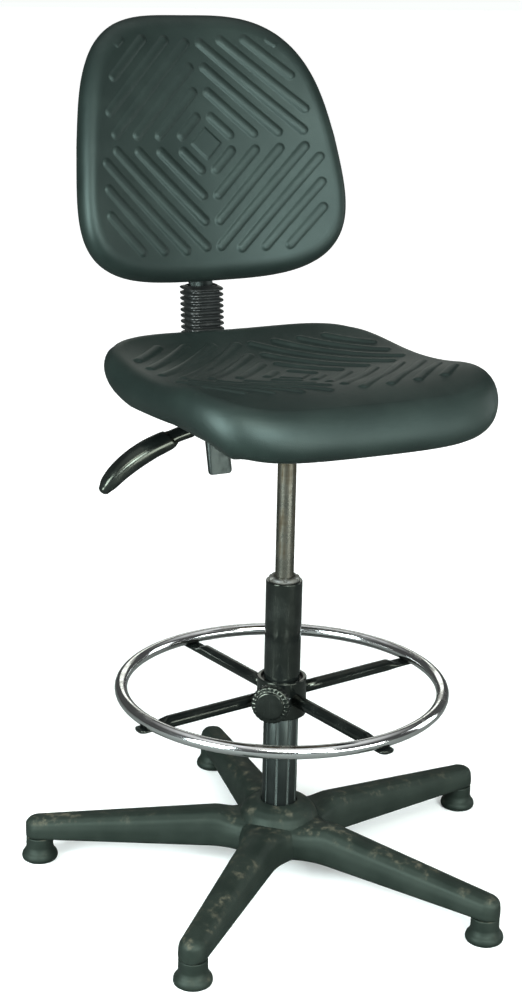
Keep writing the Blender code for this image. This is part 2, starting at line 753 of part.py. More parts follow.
def seat_lower(x, y):
    """Underside: flat over the board, blending to the rim's lower edge."""
    v = (y + seat_middle_y()) / SEAT_UNIT_Y
    tuck = max(1.0 - ((v - SEAT_TUCK_MIDDLE) / SEAT_TUCK_REACH) ** 2, 0.0)
    tuck *= SEAT_SIDE_TUCK * (x / SEAT_UNIT_X) ** 2
    rim = seat_upper(x, y) - SEAT_THICKNESS - SEAT_THICKNESS_FALL * v + tuck
    half_y = (SEAT_REAR - SEAT_FRONT) / 2.0
    reach = max(abs(x) / SEAT_HALF_WIDTH, abs(y) / half_y)
    share = min(max((reach - SEAT_UNDERSIDE_REACH) / (0.89 - SEAT_UNDERSIDE_REACH), 0.0), 1.0)
    share = share * share * (3.0 - 2.0 * share)
    return SEAT_UNDERSIDE + (rim - SEAT_UNDERSIDE) * share


def build_seat(material, parent):
    loops = cushion_loops(seat_outline(), seat_upper, seat_lower, SEAT_RIM_INSET)
    middle = (0.0, seat_middle_y(), 0.0)
    place("seat_pad", skin(loops), material["moulded_foam"], parent, True, middle)
    half_y = (BOARD_REAR - BOARD_FRONT) / 2.0
    centre = (0.0, (BOARD_REAR + BOARD_FRONT) / 2.0)
    outline = rounded_rectangle(BOARD_HALF_X, half_y, 0.030, 4, centre)
    board = place("seat_board", prism(outline, BOARD_BOTTOM, BOARD_TOP), material["birch_board"], parent, False)
    plate_outline = rounded_rectangle(SEAT_PLATE_HALF_X, SEAT_PLATE_HALF_Y, 0.012, 3)
    plate = place("seat_plate", prism(plate_outline, SEAT_PLATE_BOTTOM, SEAT_PLATE_TOP), material["black_paint"],
                  parent, False)
    holes = []
    index = 0
    for sign_x in (-1.0, 1.0):
        for sign_y in (-1.0, 1.0):
            index += 1
            spot = (sign_x * SEAT_SCREW_X, sign_y * SEAT_SCREW_Y, 0.0)
            hole = turned(((SCREW_RADIUS + GAP, 0.6400), (SCREW_RADIUS + GAP, 0.6620)), 12)
            bmesh.ops.translate(hole, vec=spot, verts=hole.verts)
            holes.append(hole)
            screw = (
                (SCREW_HEAD, SEAT_PLATE_BOTTOM - 0.0043),
                (SCREW_HEAD, SEAT_PLATE_BOTTOM - GAP),
                (SCREW_RADIUS, SEAT_PLATE_BOTTOM - GAP),
                (SCREW_RADIUS, 0.6610),
            )
            place("seat_screw_%d" % index, turned(screw, 12), material["zinc"], parent, False, spot)
    drill = place("seat_drill", join(holes), material["zinc"], parent)
    combine(board, drill, "DIFFERENCE")
    combine(plate, drill, "DIFFERENCE")


# ---- Mechanism ---------------------------------------------------------------------------------------
def build_housing(material, parent):
    """A pressed channel, open below and behind, under the seat plate."""
    length = (HOUSING_REAR - HOUSING_FRONT) / 2.0
    middle = (0.0, (HOUSING_REAR + HOUSING_FRONT) / 2.0)
    outline = rounded_rectangle(HOUSING_HALF_X, length, 0.006, 3, middle)
    housing = place("mechanism_housing", prism(outline, HOUSING_BOTTOM, HOUSING_TOP), material["black_paint"],
                    parent, False)
    inner = HOUSING_HALF_X - HOUSING_WALL
    cavity = box((-inner, HOUSING_FRONT + HOUSING_WALL, 0.600), (inner, 0.200, HOUSING_TOP - HOUSING_WALL))
    shaft_hole = prism_circle(SHAFT_RADIUS + GAP, TILT_Y, TILT_Z, -0.060, 0.060)
    slot = box((-0.060, 0.0020, 0.6350), (-0.040, 0.0240, 0.6462))
    combine(housing, place("cavity_tool", cavity, material["black_paint"], parent), "DIFFERENCE")
    combine(housing, place("side_tool", join([shaft_hole, slot]), material["black_paint"], parent), "DIFFERENCE")
    socket = (
        (CYLINDER_RADIUS + GAP, SOCKET_BOTTOM),
        (SOCKET_RADIUS - 0.002, SOCKET_BOTTOM),
        (SOCKET_RADIUS, SOCKET_BOTTOM + 0.004),
        (SOCKET_RADIUS, SOCKET_TOP),
        (CYLINDER_RADIUS + GAP, SOCKET_TOP),
    )
    place("taper_socket", turned(socket, 28, True), material["black_paint"], parent)
    shaft = prism_circle(SHAFT_RADIUS, TILT_Y, TILT_Z, -0.054, 0.054)
    place("tilt_shaft", shaft, material["zinc"], parent, False)


def prism_circle(radius, y, z, low, high, segments=16):
    """A round bar along X through (y, z)."""
    step = 2.0 * math.pi / segments
    outline = [(y + radius * math.cos(i * step), z + radius * math.sin(i * step)) for i in range(segments)]
    return prism(outline, low, high, "X")


def pin_along_y(radius, x, z, low, high, segments=10):
    """A round pin along Y through (x, z)."""
    step = 2.0 * math.pi / segments
    outline = [(x + radius * math.cos(i * step), z + radius * math.sin(i * step)) for i in range(segments)]
    return prism(outline, low, high, "Y")


def build_lever_bracket(material, parent):
    """A small saddle under the housing's roof that carries the lever's pin."""
    near = LEVER_Y - 0.0120
    far = LEVER_Y + 0.0120
    roof = HOUSING_TOP - HOUSING_WALL - GAP
    outline = [
        (near, 0.6340), (near + 0.002, 0.6340), (near + 0.002, roof - 0.0012), (far - 0.002, roof - 0.0012),
        (far - 0.002, 0.6340), (far, 0.6340), (far, roof), (near, roof),
    ]
    bracket = place("lever_bracket", prism(outline, -0.0464, -0.0360, "X"), material["zinc"], parent, False)
    drill = pin_along_y(PIN_RADIUS + GAP, LEVER_X, LEVER_Z, near - 0.004, far + 0.004)
    combine(bracket, place("bracket_drill", drill, material["zinc"], parent), "DIFFERENCE")
    pin = pin_along_y(PIN_RADIUS, LEVER_X, LEVER_Z, near - 0.0015, far + 0.0015)
    place("lever_pin", pin, material["zinc"], parent, False)


def line_section(centre, along, half_width, half_thick, steps):
    """An oval or square section standing across a line in space."""
    sideways = Vector((0.0, 0.0, 1.0)).cross(along).normalized()
    up = along.cross(sideways).normalized()
    loop = []
    for k in range(steps):
        angle = 2.0 * math.pi * (k + 0.5) / steps
        c = math.cos(angle)
        s = math.sin(angle)
        power = 0.35 if steps == 4 else 0.8
        a = math.copysign(abs(c) ** power, c) * half_width
        b = math.copysign(abs(s) ** power, s) * half_thick
        loop.append(tuple(centre + sideways * a + up * b))
    return loop


def directions(points):
    """Direction of a line of points at each point."""
    found = []
    for i in range(len(points)):
        before = points[max(i - 1, 0)]
        after = points[min(i + 1, len(points) - 1)]
        found.append((after - before).normalized())
    return found


def build_lever(material, parent, pivot):
    """The steel lever and the glossy grip moulded over its end; both turn about the pin."""
    back = (-pivot[0], -pivot[1], -pivot[2])
    points = [Vector(p) for p in LEVER_LINE]
    loops = [line_section(p, d, LEVER_HALF, LEVER_THICK / 2.0, 4) for p, d in zip(points, directions(points))]
    arm = place("lever_arm", skin(loops), material["zinc"], parent, False, back)
    drill = pin_along_y(PIN_RADIUS + GAP, LEVER_X, LEVER_Z, LEVER_Y - 0.020, LEVER_Y + 0.020)
    combine(arm, place("lever_drill", drill, material["zinc"], parent, False, back), "DIFFERENCE")
    centres = [Vector(s[:3]) for s in GRIP_STATIONS]
    sections = [line_section(c, d, s[3], s[4], 16) for c, d, s in zip(centres, directions(centres), GRIP_STATIONS)]
    grip = place("lever_grip", skin(sections), material["glossy_plastic"], parent, True, back)
    core = [line_section(p, d, LEVER_HALF + GAP, LEVER_THICK / 2.0 + GAP, 4)
            for p, d in zip(points[2:], directions(points)[2:])]
    core.append([tuple(Vector(p) + directions(points)[-1] * 0.001) for p in core[-1]])
    combine(grip, place("grip_core", skin(core), material["zinc"], parent, False, back), "DIFFERENCE")


# ---- Back bar, its socket and the tilting arm --------------------------------------------------------
def bar_point(station, forward):
    """Height and depth of a point given along the bar and forward of its middle line."""
    lean = math.radians(BACK_LEAN)
    y = BAR_FOOT_Y + station * math.sin(lean) - forward * math.cos(lean)
    z = BAR_FOOT_Z + station * math.cos(lean) + forward * math.sin(lean)
    return y, z


def build_back_arm(material, parent, pivot):
    """The arm from the tilt shaft back to the bar's socket."""
    reach = BAR_SOCKET_HALF_N + GAP
    low = bar_point(0.0860, reach)
    high = bar_point(0.1420, reach)
    outline = []
    for degrees in (100.0, 135.0, 180.0, 225.0, 260.0):
        angle = math.radians(degrees)
        outline.append((TILT_Y + 0.013 * math.cos(angle), TILT_Z + 0.013 * math.sin(angle)))
    outline += [(low[0] - 0.030, 0.6120), low, high]
    back = (-pivot[0], -pivot[1], -pivot[2])
    arm = place("back_arm", prism(outline, -BACK_ARM_HALF_X, BACK_ARM_HALF_X, "X"), material["black_paint"], parent,
                False, back)
    eye = prism_circle(SHAFT_RADIUS + GAP, TILT_Y, TILT_Z, -0.040, 0.040)
    combine(arm, place("eye_tool", eye, material["black_paint"], parent, False, back), "DIFFERENCE")


def tube_section(half_a, half_b, corner, station):
    return [(a, b, station) for a, b in rounded_rectangle(half_a, half_b, corner, 2)]


def build_bar_socket(material, parent):
    """A square tube round the bar, drilled at the rear for the clamp stud."""
    outer = (BAR_SOCKET_HALF_X, BAR_SOCKET_HALF_N, 0.0030)
    inner = (BAR_HALF_WIDTH + 0.0006, BAR_HALF_THICK + 0.0006, 0.0010)
    loops = [
        tube_section(*outer, BAR_SOCKET_START),
        tube_section(*outer, BAR_SOCKET_END),
        tube_section(*inner, BAR_SOCKET_END),
        tube_section(*inner, BAR_SOCKET_START),
    ]
    socket = place("bar_socket", skin(loops, True), material["black_paint"], parent, False)
    drill = turned(((STUD_RADIUS + 0.0004, 0.0010), (STUD_RADIUS + 0.0004, 0.0200)), 14)
    spot = (0.0, 0.0, BACK_KNOB_STATION)
    combine(socket, place("socket_drill", drill, material["zinc"], parent, True, spot, (-math.pi / 2.0, 0.0, 0.0)),
            "DIFFERENCE")


def build_back_knob(material, parent):
    """Knob and stud behind the socket, with their origin on the stud's axis."""
    turn = (-math.pi / 2.0, 0.0, 0.0)
    stud = turned(((STUD_RADIUS, BAR_HALF_THICK + 0.0004), (STUD_RADIUS, 0.0255)), 12)
    place("back_knob_stud", stud, material["zinc"], parent, True, (0.0, 0.0, 0.0), turn)
    knob = knob_solid(BACK_KNOB_RADIUS, 0.0150, BACK_KNOB_NECK)
    bmesh.ops.translate(knob, vec=(0.0, 0.0, BAR_SOCKET_HALF_N + 0.0010), verts=knob.verts)
    place("back_knob", knob, material["glossy_plastic"], parent, True, (0.0, 0.0, 0.0), turn)


def build_bar(material, parent):
    """The flat steel bar with eased corners, drilled for the backrest's screws."""
    half = BAR_LENGTH / 2.0
    outline = rounded_rectangle(BAR_HALF_WIDTH, half, BAR_CORNER, 3, (0.0, half))
    bar = place("back_bar", prism(outline, -BAR_HALF_THICK, BAR_HALF_THICK, "Y"), material["black_paint"], parent,
                False)
    block_outline = rounded_rectangle(BLOCK_HALF_X, (BLOCK_END - BLOCK_START) / 2.0, 0.010, 3,
                                      (0.0, (BLOCK_END + BLOCK_START) / 2.0))
    front = -(PAD_FORWARD - PAD_THICKNESS) + GAP
    block = place("back_block", prism(block_outline, front, -BAR_HALF_THICK - GAP, "Y"), material["moulded_nylon"],
                  parent, False)
    turn = (math.pi / 2.0, 0.0, 0.0)
    for index, station in enumerate(BACK_SCREW_STATIONS):
        spot = (0.0, 0.0, station)
        drill = turned(((SCREW_RADIUS + GAP, -0.010), (SCREW_RADIUS + GAP, 0.0250)), 12)
        tool = place("bar_drill_%d" % (index + 1), drill, material["zinc"], parent, True, spot, turn)
        combine(bar, tool, "DIFFERENCE")
        combine(block, tool, "DIFFERENCE")
        screw = (
            (SCREW_HEAD, -BAR_HALF_THICK - 0.0045),
            (SCREW_HEAD, -BAR_HALF_THICK - GAP),
            (SCREW_RADIUS, -BAR_HALF_THICK - GAP),
            (SCREW_RADIUS, PAD_FORWARD - PAD_THICKNESS - 0.0010),
        )
        place("back_screw_%d" % (index + 1), turned(screw, 12), material["zinc"], parent, False, spot, turn)


def pad_outline():
    """The backrest's face: square shouldered below, narrower and rounder above."""
    points = []
    for i in range(CUSHION_STEPS):
        angle = 2.0 * math.pi * (i + 0.5) / CUSHION_STEPS
        c = math.cos(angle)
        s = math.sin(angle)
        upper = s > 0.0
        power = PAD_TOP_SQUARENESS if upper else PAD_BOTTOM_SQUARENESS
        reach = (abs(c) ** power + abs(s) ** power) ** (-1.0 / power)
        v = reach * s
        taper = PAD_TOP_TAPER if upper else PAD_BOTTOM_TAPER
        u = PAD_HALF_WIDTH * reach * c * (1.0 - taper * v)
        points.append((u, v * (PAD_TOP_REACH if upper else PAD_BOTTOM_REACH)))
    return points


def pad_face(u, v):
    """How far the face stands forward of the bar line."""
    return PAD_FORWARD + PAD_WRAP / 2.0 * u * u + PAD_BELLY / 2.0 * v * v + PAD_TWIST * v ** 3


def pad_rear(u, v):
    """The rear skin follows the face, thicker at the sides, with a flat land for the block."""
    side = min(abs(u) / PAD_HALF_WIDTH, 1.0)
    end = min(abs(v) / PAD_BOTTOM_REACH, 1.0)
    thick = PAD_THICKNESS + PAD_SIDE_GROWTH * side * side - PAD_END_FALL * end * end
    skin_line = pad_face(u, v) - thick
    share = min(max(max(abs(u) / PAD_FLAT_X, abs(v) / PAD_FLAT_S) - 1.0, 0.0), 1.0)
    share = share * share * (3.0 - 2.0 * share)
    land = PAD_FORWARD - PAD_THICKNESS
    return land + (skin_line - land) * share


def build_pad(material, parent):
    loops = cushion_loops(pad_outline(), pad_face, pad_rear, PAD_RIM_INSET)
    turned_loops = [[(u, -w, v) for u, v, w in loop] for loop in loops]
    place("back_pad", skin(turned_loops), material["moulded_foam"], parent, True, (0.0, 0.0, PAD_STATION))


def build_bellows(material, parent, pivot):
    """A pleated gaiter round the bar: outer pleats, then the same stack inside."""
    levels = BELLOWS_FINS * 2 + 1

    def section(level, inset):
        share = level / (levels - 1)
        y = BELLOWS_BOTTOM_Y + (BELLOWS_TOP_Y - BELLOWS_BOTTOM_Y) * share
        z = BELLOWS_BOTTOM_Z + (BELLOWS_TOP_Z - BELLOWS_BOTTOM_Z) * share
        tuck = inset + (0.0 if level % 2 else BELLOWS_ROOT_INSET)
        shallow = BELLOWS_CUFF_TUCK if level == levels - 1 else 0.0
        outline = rounded_rectangle(BELLOWS_HALF_X - tuck, BELLOWS_HALF_Y - tuck - shallow,
                                    BELLOWS_CORNER - tuck * 0.5, 2)
        return [(a, y + b, z) for a, b in outline]

    outside = [section(level, 0.0) for level in range(levels)]
    inside = [section(level, BELLOWS_WALL) for level in range(levels - 1, -1, -1)]
    back = (-pivot[0], -pivot[1], -pivot[2])
    place("bellows", skin(outside + inside, True), material["soft_rubber"], parent, True, back)


def main():
    clear_scene()
    material = make_materials()
    column = empty("column_axis", None, (COLUMN_X, COLUMN_Y, 0.0))
    build_base(material, column)
    build_glides(material, column)
    build_column(material, column)
    ring_pivot = empty("ring_axis", column)
    build_ring(material, ring_pivot)
    build_ring_hub(material, ring_pivot)
    knob_pivot = empty("ring_knob_axis", ring_pivot, (0.0, 0.0, RING_KNOB_HEIGHT))
    build_ring_knob(material, knob_pivot)
    seat_pivot = empty("seat_axis", column)
    build_rod(material, seat_pivot)
    build_cylinder(material, seat_pivot)
    build_valve(material, seat_pivot)
    build_seat(material, seat_pivot)
    build_housing(material, seat_pivot)
    build_lever_bracket(material, seat_pivot)
    lever_at = (LEVER_X, LEVER_Y, LEVER_Z)
    build_lever(material, empty("lever_axis", seat_pivot, lever_at), lever_at)
    tilt_at = (0.0, TILT_Y, TILT_Z)
    tilt_pivot = empty("tilt_axis", seat_pivot, tilt_at)
    build_back_arm(material, tilt_pivot, tilt_at)
    build_bellows(material, tilt_pivot, tilt_at)
    foot = (0.0, BAR_FOOT_Y - TILT_Y, BAR_FOOT_Z - TILT_Z)
    bar_line = empty("bar_line", tilt_pivot, foot, (-math.radians(BACK_LEAN), 0.0, 0.0))
    build_bar_socket(material, bar_line)
    build_back_knob(material, empty("back_knob_axis", bar_line, (0.0, 0.0, BACK_KNOB_STATION)))
    build_bar(material, bar_line)
    build_pad(material, bar_line)


main()
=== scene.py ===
# %% [markdown]
# # A drafting chair, dressed for the showroom
# The rigid frame of the chair is already made: each node stands where it belongs and rides on a body. This
# lesson keeps those places and gives every visible piece a finer surface and a finish of its own.
# Everything is in metres, with +Z up, and the sitter faces -Y.

# %% Frame
import math

import bpy
import numpy as np
from mathutils import Matrix, Vector


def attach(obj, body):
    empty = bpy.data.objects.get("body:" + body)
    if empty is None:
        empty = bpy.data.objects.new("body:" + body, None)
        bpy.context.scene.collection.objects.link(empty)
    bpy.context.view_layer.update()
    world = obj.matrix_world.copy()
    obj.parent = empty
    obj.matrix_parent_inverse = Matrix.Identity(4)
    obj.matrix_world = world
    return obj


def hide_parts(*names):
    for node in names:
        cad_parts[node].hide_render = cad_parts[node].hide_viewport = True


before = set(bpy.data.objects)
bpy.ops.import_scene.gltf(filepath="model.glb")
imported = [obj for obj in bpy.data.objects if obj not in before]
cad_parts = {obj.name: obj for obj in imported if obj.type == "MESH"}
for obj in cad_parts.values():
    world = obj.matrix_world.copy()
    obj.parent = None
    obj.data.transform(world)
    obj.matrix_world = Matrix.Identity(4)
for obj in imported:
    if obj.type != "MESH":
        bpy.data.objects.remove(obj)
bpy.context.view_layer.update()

# %% [markdown]
# The pieces below are drawn about the column's axis, as a lathe or a moulder would draw them, and are moved
# onto it when they are built. Its place in plan and a few measures more are the frame's own.

# %% Measures shared with the frame
AXIS = np.array([-0.0160, -0.0251, 0.0])  # column axis in the chair's plan
ARM_PHASE = 9.2  # degrees, heading of the first arm
ARM_COUNT = 5
GLIDE_CIRCLE = 0.3390
ARM_UNDERSIDE = 0.0360
SPOKE_PHASE = 9.6
SPOKE_COUNT = 4
BAR_FOOT = np.array([0.0, 0.2100, 0.5220])
BACK_LEAN = math.radians(16.08)
PAD_STATION = 0.4641
print("column axis:", AXIS[:2])

# %% [markdown]
# ## Surfaces
# A turned part, a tube, a fluted post and a moulded arm are all the same thing to a modeller: rows of
# sections joined into a skin. `surface` takes the sections as one array of shape (rows, columns, 3),
# closes the columns, and either closes the rows too or caps both ends with a fan.

# %% Making a skin from sections
def surface(name, sections, body, node, finish, loop_rows=False):
    """Joins the sections p[i, j] with quads (i,j) (i,j+1) (i+1,j+1) (i+1,j). Columns always close."""
    p = np.asarray(sections, float)
    rows, columns = p.shape[:2]
    index = np.arange(rows * columns).reshape(rows, columns)
    following = np.roll(index, -1, 0) if loop_rows else index[1:]
    here = index if loop_rows else index[:-1]
    corners = [here, np.roll(here, -1, 1), np.roll(following, -1, 1), following]
    quads = np.stack(corners, -1).reshape(-1, 4)
    points = p.reshape(-1, 3)
    fans = np.empty((0, 3), int)
    if not loop_rows:
        low, high = len(points), len(points) + 1
        points = np.vstack([points, p[0].mean(0), p[-1].mean(0)])
        first, last = index[0], index[-1]
        fans = np.vstack([
            np.stack([np.full(columns, low), np.roll(first, -1), first], -1),
            np.stack([np.full(columns, high), last, np.roll(last, -1)], -1),
        ])
    skin(name, points, quads, fans, body, node, finish)


def skin(name, points, quads, fans, body, node, finish):
    """Builds the mesh, faces it outward, gives it its body and its finish, and hides the frame's own piece for
    the node it stands for.
    The sum of (a x b) . c over its triangles is six times its volume, and the sign shows how it faces."""
    triangles = np.vstack([quads[:, [0, 1, 2]], quads[:, [0, 2, 3]], fans])
    a, b, c = (points[triangles[:, k]] for k in range(3))
    if np.einsum("ij,ij->i", np.cross(a, b), c).sum() < 0.0:
        quads, fans = quads[:, ::-1], fans[:, ::-1]
    mesh = bpy.data.meshes.new(name)
    mesh.from_pydata((points + AXIS).tolist(), [], quads.tolist() + fans.tolist())
    mesh.polygons.foreach_set("use_smooth", np.ones(len(mesh.polygons), bool))
    mesh.materials.append(finish)
    piece = bpy.data.objects.new(name, mesh)
    bpy.context.scene.collection.objects.link(piece)
    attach(piece, body)
    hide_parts(node)
    print(f"{name}: {len(quads) * 2 + len(fans)} triangles on {body}")
    return piece


print("surface tools ready")

# %% [markdown]
# No real edge is sharp: a mould, a lathe tool or a file leaves a small radius, and that is what catches the
# light. `fillet` gives an outline or a profile its radii before it becomes a surface.

# %% Rounding corners
def fillet(corners, radius, steps=5, closed=True):
    """Rounds a polyline. Corner P becomes the curve (1-t)^2 A + 2t(1-t) P + t^2 B between the points A and B
    on its two sides, `radius` away or 0.4 of the side if that is shorter. A little straight is kept by each
    end of the curve so that smooth shading doesn't leak onto the flats."""
    p = np.asarray(corners, float)
    to_before, to_after = np.roll(p, 1, 0) - p, np.roll(p, -1, 0) - p
    reach_before = np.minimum(radius / np.linalg.norm(to_before, axis=1), 0.4)[:, None]
    reach_after = np.minimum(radius / np.linalg.norm(to_after, axis=1), 0.4)[:, None]
    a, b = p + to_before * reach_before, p + to_after * reach_after
    t = np.linspace(0.0, 1.0, steps)[None, :, None]
    curve = (1 - t) ** 2 * a[:, None] + 2 * t * (1 - t) * p[:, None] + t * t * b[:, None]
    lead, trail = p + to_before * reach_before * 1.2, p + to_after * reach_after * 1.2
    curve = np.concatenate([lead[:, None], curve, trail[:, None]], 1)
    if closed:
        return curve.reshape(-1, p.shape[1])
    return np.vstack([p[:1], curve[1:-1].reshape(-1, p.shape[1]), p[-1:]])


def rounded_box_outline(half_a, half_b, corner):
    """A rectangle with round corners, as (count, 2)."""
    corners = [(half_a, half_b), (-half_a, half_b), (-half_a, -half_b), (half_a, -half_b)]
    return fillet(corners, corner, 6)


print("a rounded rectangle has", len(rounded_box_outline(0.02, 0.01, 0.004)), "points")

# %% [markdown]
# Most of the column is turned on a lathe, so its parts are profiles carried round +Z, and whatever repeats
# about the axis is drawn once and turned to its place. `smooth_step` is the soft switch in flutes and tabs.

# %% Turning and blending
def full_turn(steps):
    return np.linspace(0.0, 2.0 * math.pi, steps, endpoint=False)


def around(reach, height, turn):
    """Points at the distance `reach` from +Z in the directions `turn`, at their heights."""
    return np.stack([reach * np.cos(turn), reach * np.sin(turn), height + 0.0 * turn], -1)


def turned(profile, steps=96):
    """Sections of a turned part: the profile's (radius, height) points carried round +Z."""
    r, z = np.asarray(profile, float).T[..., None]
    return around(r, z, full_turn(steps))


def round_z(points, degrees):
    c, s = math.cos(math.radians(degrees)), math.sin(math.radians(degrees))
    return points @ np.array([[c, s, 0.0], [-s, c, 0.0], [0.0, 0.0, 1.0]])


def smooth_step(x, low, high):
    """3 t^2 - 2 t^3, where t runs from 0 at `low` to 1 at `high`."""
    t = np.clip((x - low) / (high - low), 0.0, 1.0)
    return t * t * (3.0 - 2.0 * t)


print("turned parts have", turned(((0.01, 0.0), (0.01, 0.1))).shape[1], "columns")

# %% [markdown]
# ## Shader maths
# A procedural finish is a formula of the place on the surface. Written node by node a formula is hard to
# read, so `Value` wraps one output socket, and adding, multiplying or raising values adds the Math node.

# %% A small language for shaders
class Value:
    """One number flowing through a material."""

    def __init__(self, nodes, socket):
        self.nodes = nodes
        self.socket = socket

    def _math(self, operation, first, second):
        return self.nodes.node("ShaderNodeMath", {"operation": operation}, {0: first, 1: second})

    def __add__(self, other):
        return self._math("ADD", self, other)

    def __radd__(self, other):
        return self._math("ADD", other, self)

    def __sub__(self, other):
        return self._math("SUBTRACT", self, other)

    def __rsub__(self, other):
        return self._math("SUBTRACT", other, self)

    def __mul__(self, other):
        return self._math("MULTIPLY", self, other)

    def __rmul__(self, other):
        return self._math("MULTIPLY", other, self)

    def __pow__(self, other):
        return self._math("POWER", self, other)

    def __rpow__(self, other):
        return self._math("POWER", other, self)

    def ramp(self, low, high):
        """0 below low, 1 above high, smooth between."""
        inputs = {"Value": self, "From Min": low, "From Max": high}
        return self.nodes.node("ShaderNodeMapRange", {"interpolation_type": "SMOOTHSTEP"}, inputs)


class Nodes:
    """A node tree under construction. Every node is made by its one method."""

    def __init__(self, tree):
        self.tree = tree

    def node(self, kind, settings, inputs, output=0):
        """Sets the settings first, then each input from a number or a Value; gives one output back."""
        made = self.tree.nodes.new(kind)
        for setting, value in settings.items():
            setattr(made, setting, value)
        for socket, value in inputs.items():
            if isinstance(value, Value):
                self.tree.links.new(value.socket, made.inputs[socket])
            else:
                made.inputs[socket].default_value = value
        return Value(self, made.outputs[output])


print("shader expressions ready")

# %% [markdown]
# A `Graph` is one material: a Principled shader with its constants set on the sockets themselves, a few
# patterns that read the object's own coordinates, and `feed` for the values that vary over the surface.

# %% A material
class Graph(Nodes):
    """A material under construction. `place` is the object's own coordinates in metres."""

    def __init__(self, name, colour, roughness, metallic=0.0, specular=0.5, shine=(1.0, 1.0, 1.0)):
        self.material = bpy.data.materials.new(name)
        self.material.use_nodes = True
        super().__init__(self.material.node_tree)
        self.shader = self.tree.nodes["Principled BSDF"]
        constants = {"Base Color": (*colour, 1.0), "Roughness": roughness, "Metallic": metallic,
                     "Specular IOR Level": specular, "Specular Tint": (*shine, 1.0)}
        for socket, value in constants.items():
            self.shader.inputs[socket].default_value = value
        self.place = self.node("ShaderNodeTexCoord", {}, {}, "Object")

    def noise(self, scale, detail=3.0, roughness=0.55, stretch=(1.0, 1.0, 1.0)):
        """Soft cloudy noise; a stretch below 1 draws it out along that axis."""
        spot = self.node("ShaderNodeVectorMath", {"operation": "MULTIPLY"}, {0: self.place, 1: stretch})
        return self.node("ShaderNodeTexNoise", {}, {"Vector": spot, "Scale": scale, "Detail": detail,
                                                    "Roughness": roughness})

    def cells(self, scale):
        """Distance from the middle of the nearest of many small cells."""
        return self.node("ShaderNodeTexVoronoi", {"feature": "F1"}, {"Vector": self.place, "Scale": scale})

    def axis(self, name):
        return self.node("ShaderNodeSeparateXYZ", {}, {0: self.place}, name)

    def facing_up(self):
        """The surface's own up component, 1 on a level top and -1 beneath."""
        normal = self.node("ShaderNodeNewGeometry", {}, {}, "Normal")
        return self.node("ShaderNodeSeparateXYZ", {}, {0: normal}, "Z")

    def mix(self, share, first, second):
        """Between two colours."""
        first = first if isinstance(first, Value) else (*first, 1.0)
        second = second if isinstance(second, Value) else (*second, 1.0)
        return self.node("ShaderNodeMix", {"data_type": "RGBA"}, {0: share, 6: first, 7: second}, 2)

    def feed(self, socket, value):
        self.tree.links.new(value.socket, self.shader.inputs[socket])

    def bump(self, height, distance, strength=1.0):
        self.feed("Normal", self.node("ShaderNodeBump", {}, {"Height": height, "Distance": distance,
                                                             "Strength": strength}))


print("material tools ready")

# %% [markdown]
# ## Finishes
# **Moulded foam.** Integral-skin polyurethane is poured into a painted mould. Its skin copies the mould's
# leather-like grain, stays dull in the hollows, and polishes on the bars and the rim where clothes rub.

# %% Integral skin foam
def make_foam():
    g = Graph("pu_skin", (0.017, 0.022, 0.021), 0.46, specular=0.34, shine=(0.79, 1.0, 0.96))
    cloud = g.noise(14.0, 4.0)
    rub = g.noise(5.0, 2.0)
    grain = g.cells(900.0)
    pores = g.noise(2600.0, 2.0)
    colour = g.mix(cloud.ramp(0.35, 0.70), (0.0046, 0.0080, 0.0070), (0.0076, 0.0122, 0.0106))
    dust = (g.facing_up().ramp(0.4, 1.0) * g.noise(60.0, 5.0, 0.7).ramp(0.52, 0.80)) * 0.35
    g.feed("Base Color", g.mix(dust, colour, (0.024, 0.030, 0.027)))
    g.feed("Roughness", 0.40 + rub.ramp(0.3, 0.7) * 0.10 + grain * 0.06)
    g.bump(grain * 0.7 + pores * 0.3, 0.00022, 0.8)
    return g.material


# %% [markdown]
# **Moulded nylon.** The star and the glides are glass-filled nylon. Spark-eroded moulds leave a fine matt
# texture; feet and vacuum cleaners then drag brownish scuffs along the tops and the ends of the arms.

# %% Glass-filled nylon
def make_nylon():
    g = Graph("glass_filled_nylon", (0.020, 0.025, 0.023), 0.55, specular=0.25, shine=(0.82, 1.0, 0.87))
    cloud = g.noise(22.0, 4.0)
    streak = g.noise(70.0, 6.0, 0.65, (1.0, 1.0, 0.35))
    up = g.facing_up().ramp(0.15, 0.9)
    scuff = streak.ramp(0.50, 0.70) * up * cloud.ramp(0.40, 0.62)
    colour = g.mix(cloud.ramp(0.3, 0.7), (0.0058, 0.0088, 0.0072), (0.0110, 0.0152, 0.0126))
    g.feed("Base Color", g.mix(scuff * 0.60, colour, (0.120, 0.105, 0.075)))
    g.feed("Roughness", 0.50 + scuff * 0.25 + cloud * 0.10)
    g.bump(g.noise(1500.0, 3.0), 0.00015, 0.7)
    return g.material


# %% [markdown]
# **Gloss plastic** for the sleeve, the spokes, the lever's grip and the knobs: a polished mould, so the
# wear shows as hairlines and finger marks that only change how sharply it shines.

# %% Gloss plastic
def make_gloss():
    g = Graph("gloss_plastic", (0.009, 0.011, 0.011), 0.20, specular=0.40, shine=(0.94, 1.0, 0.84))
    smear = g.noise(35.0, 5.0, 0.6)
    hairline = g.noise(900.0, 2.0, 0.5, (1.0, 1.0, 0.04))
    g.feed("Base Color", g.mix(smear.ramp(0.4, 0.75), (0.0035, 0.0045, 0.0043), (0.0075, 0.0090, 0.0085)))
    g.feed("Roughness", 0.13 + smear.ramp(0.35, 0.75) * 0.14 + hairline.ramp(0.55, 0.75) * 0.10)
    g.bump(hairline + g.noise(240.0, 2.0), 0.00003, 0.6)
    return g.material


# %% [markdown]
# **Black enamel** on the column, the bar and the pressed steel: stoved paint has a slight orange peel.

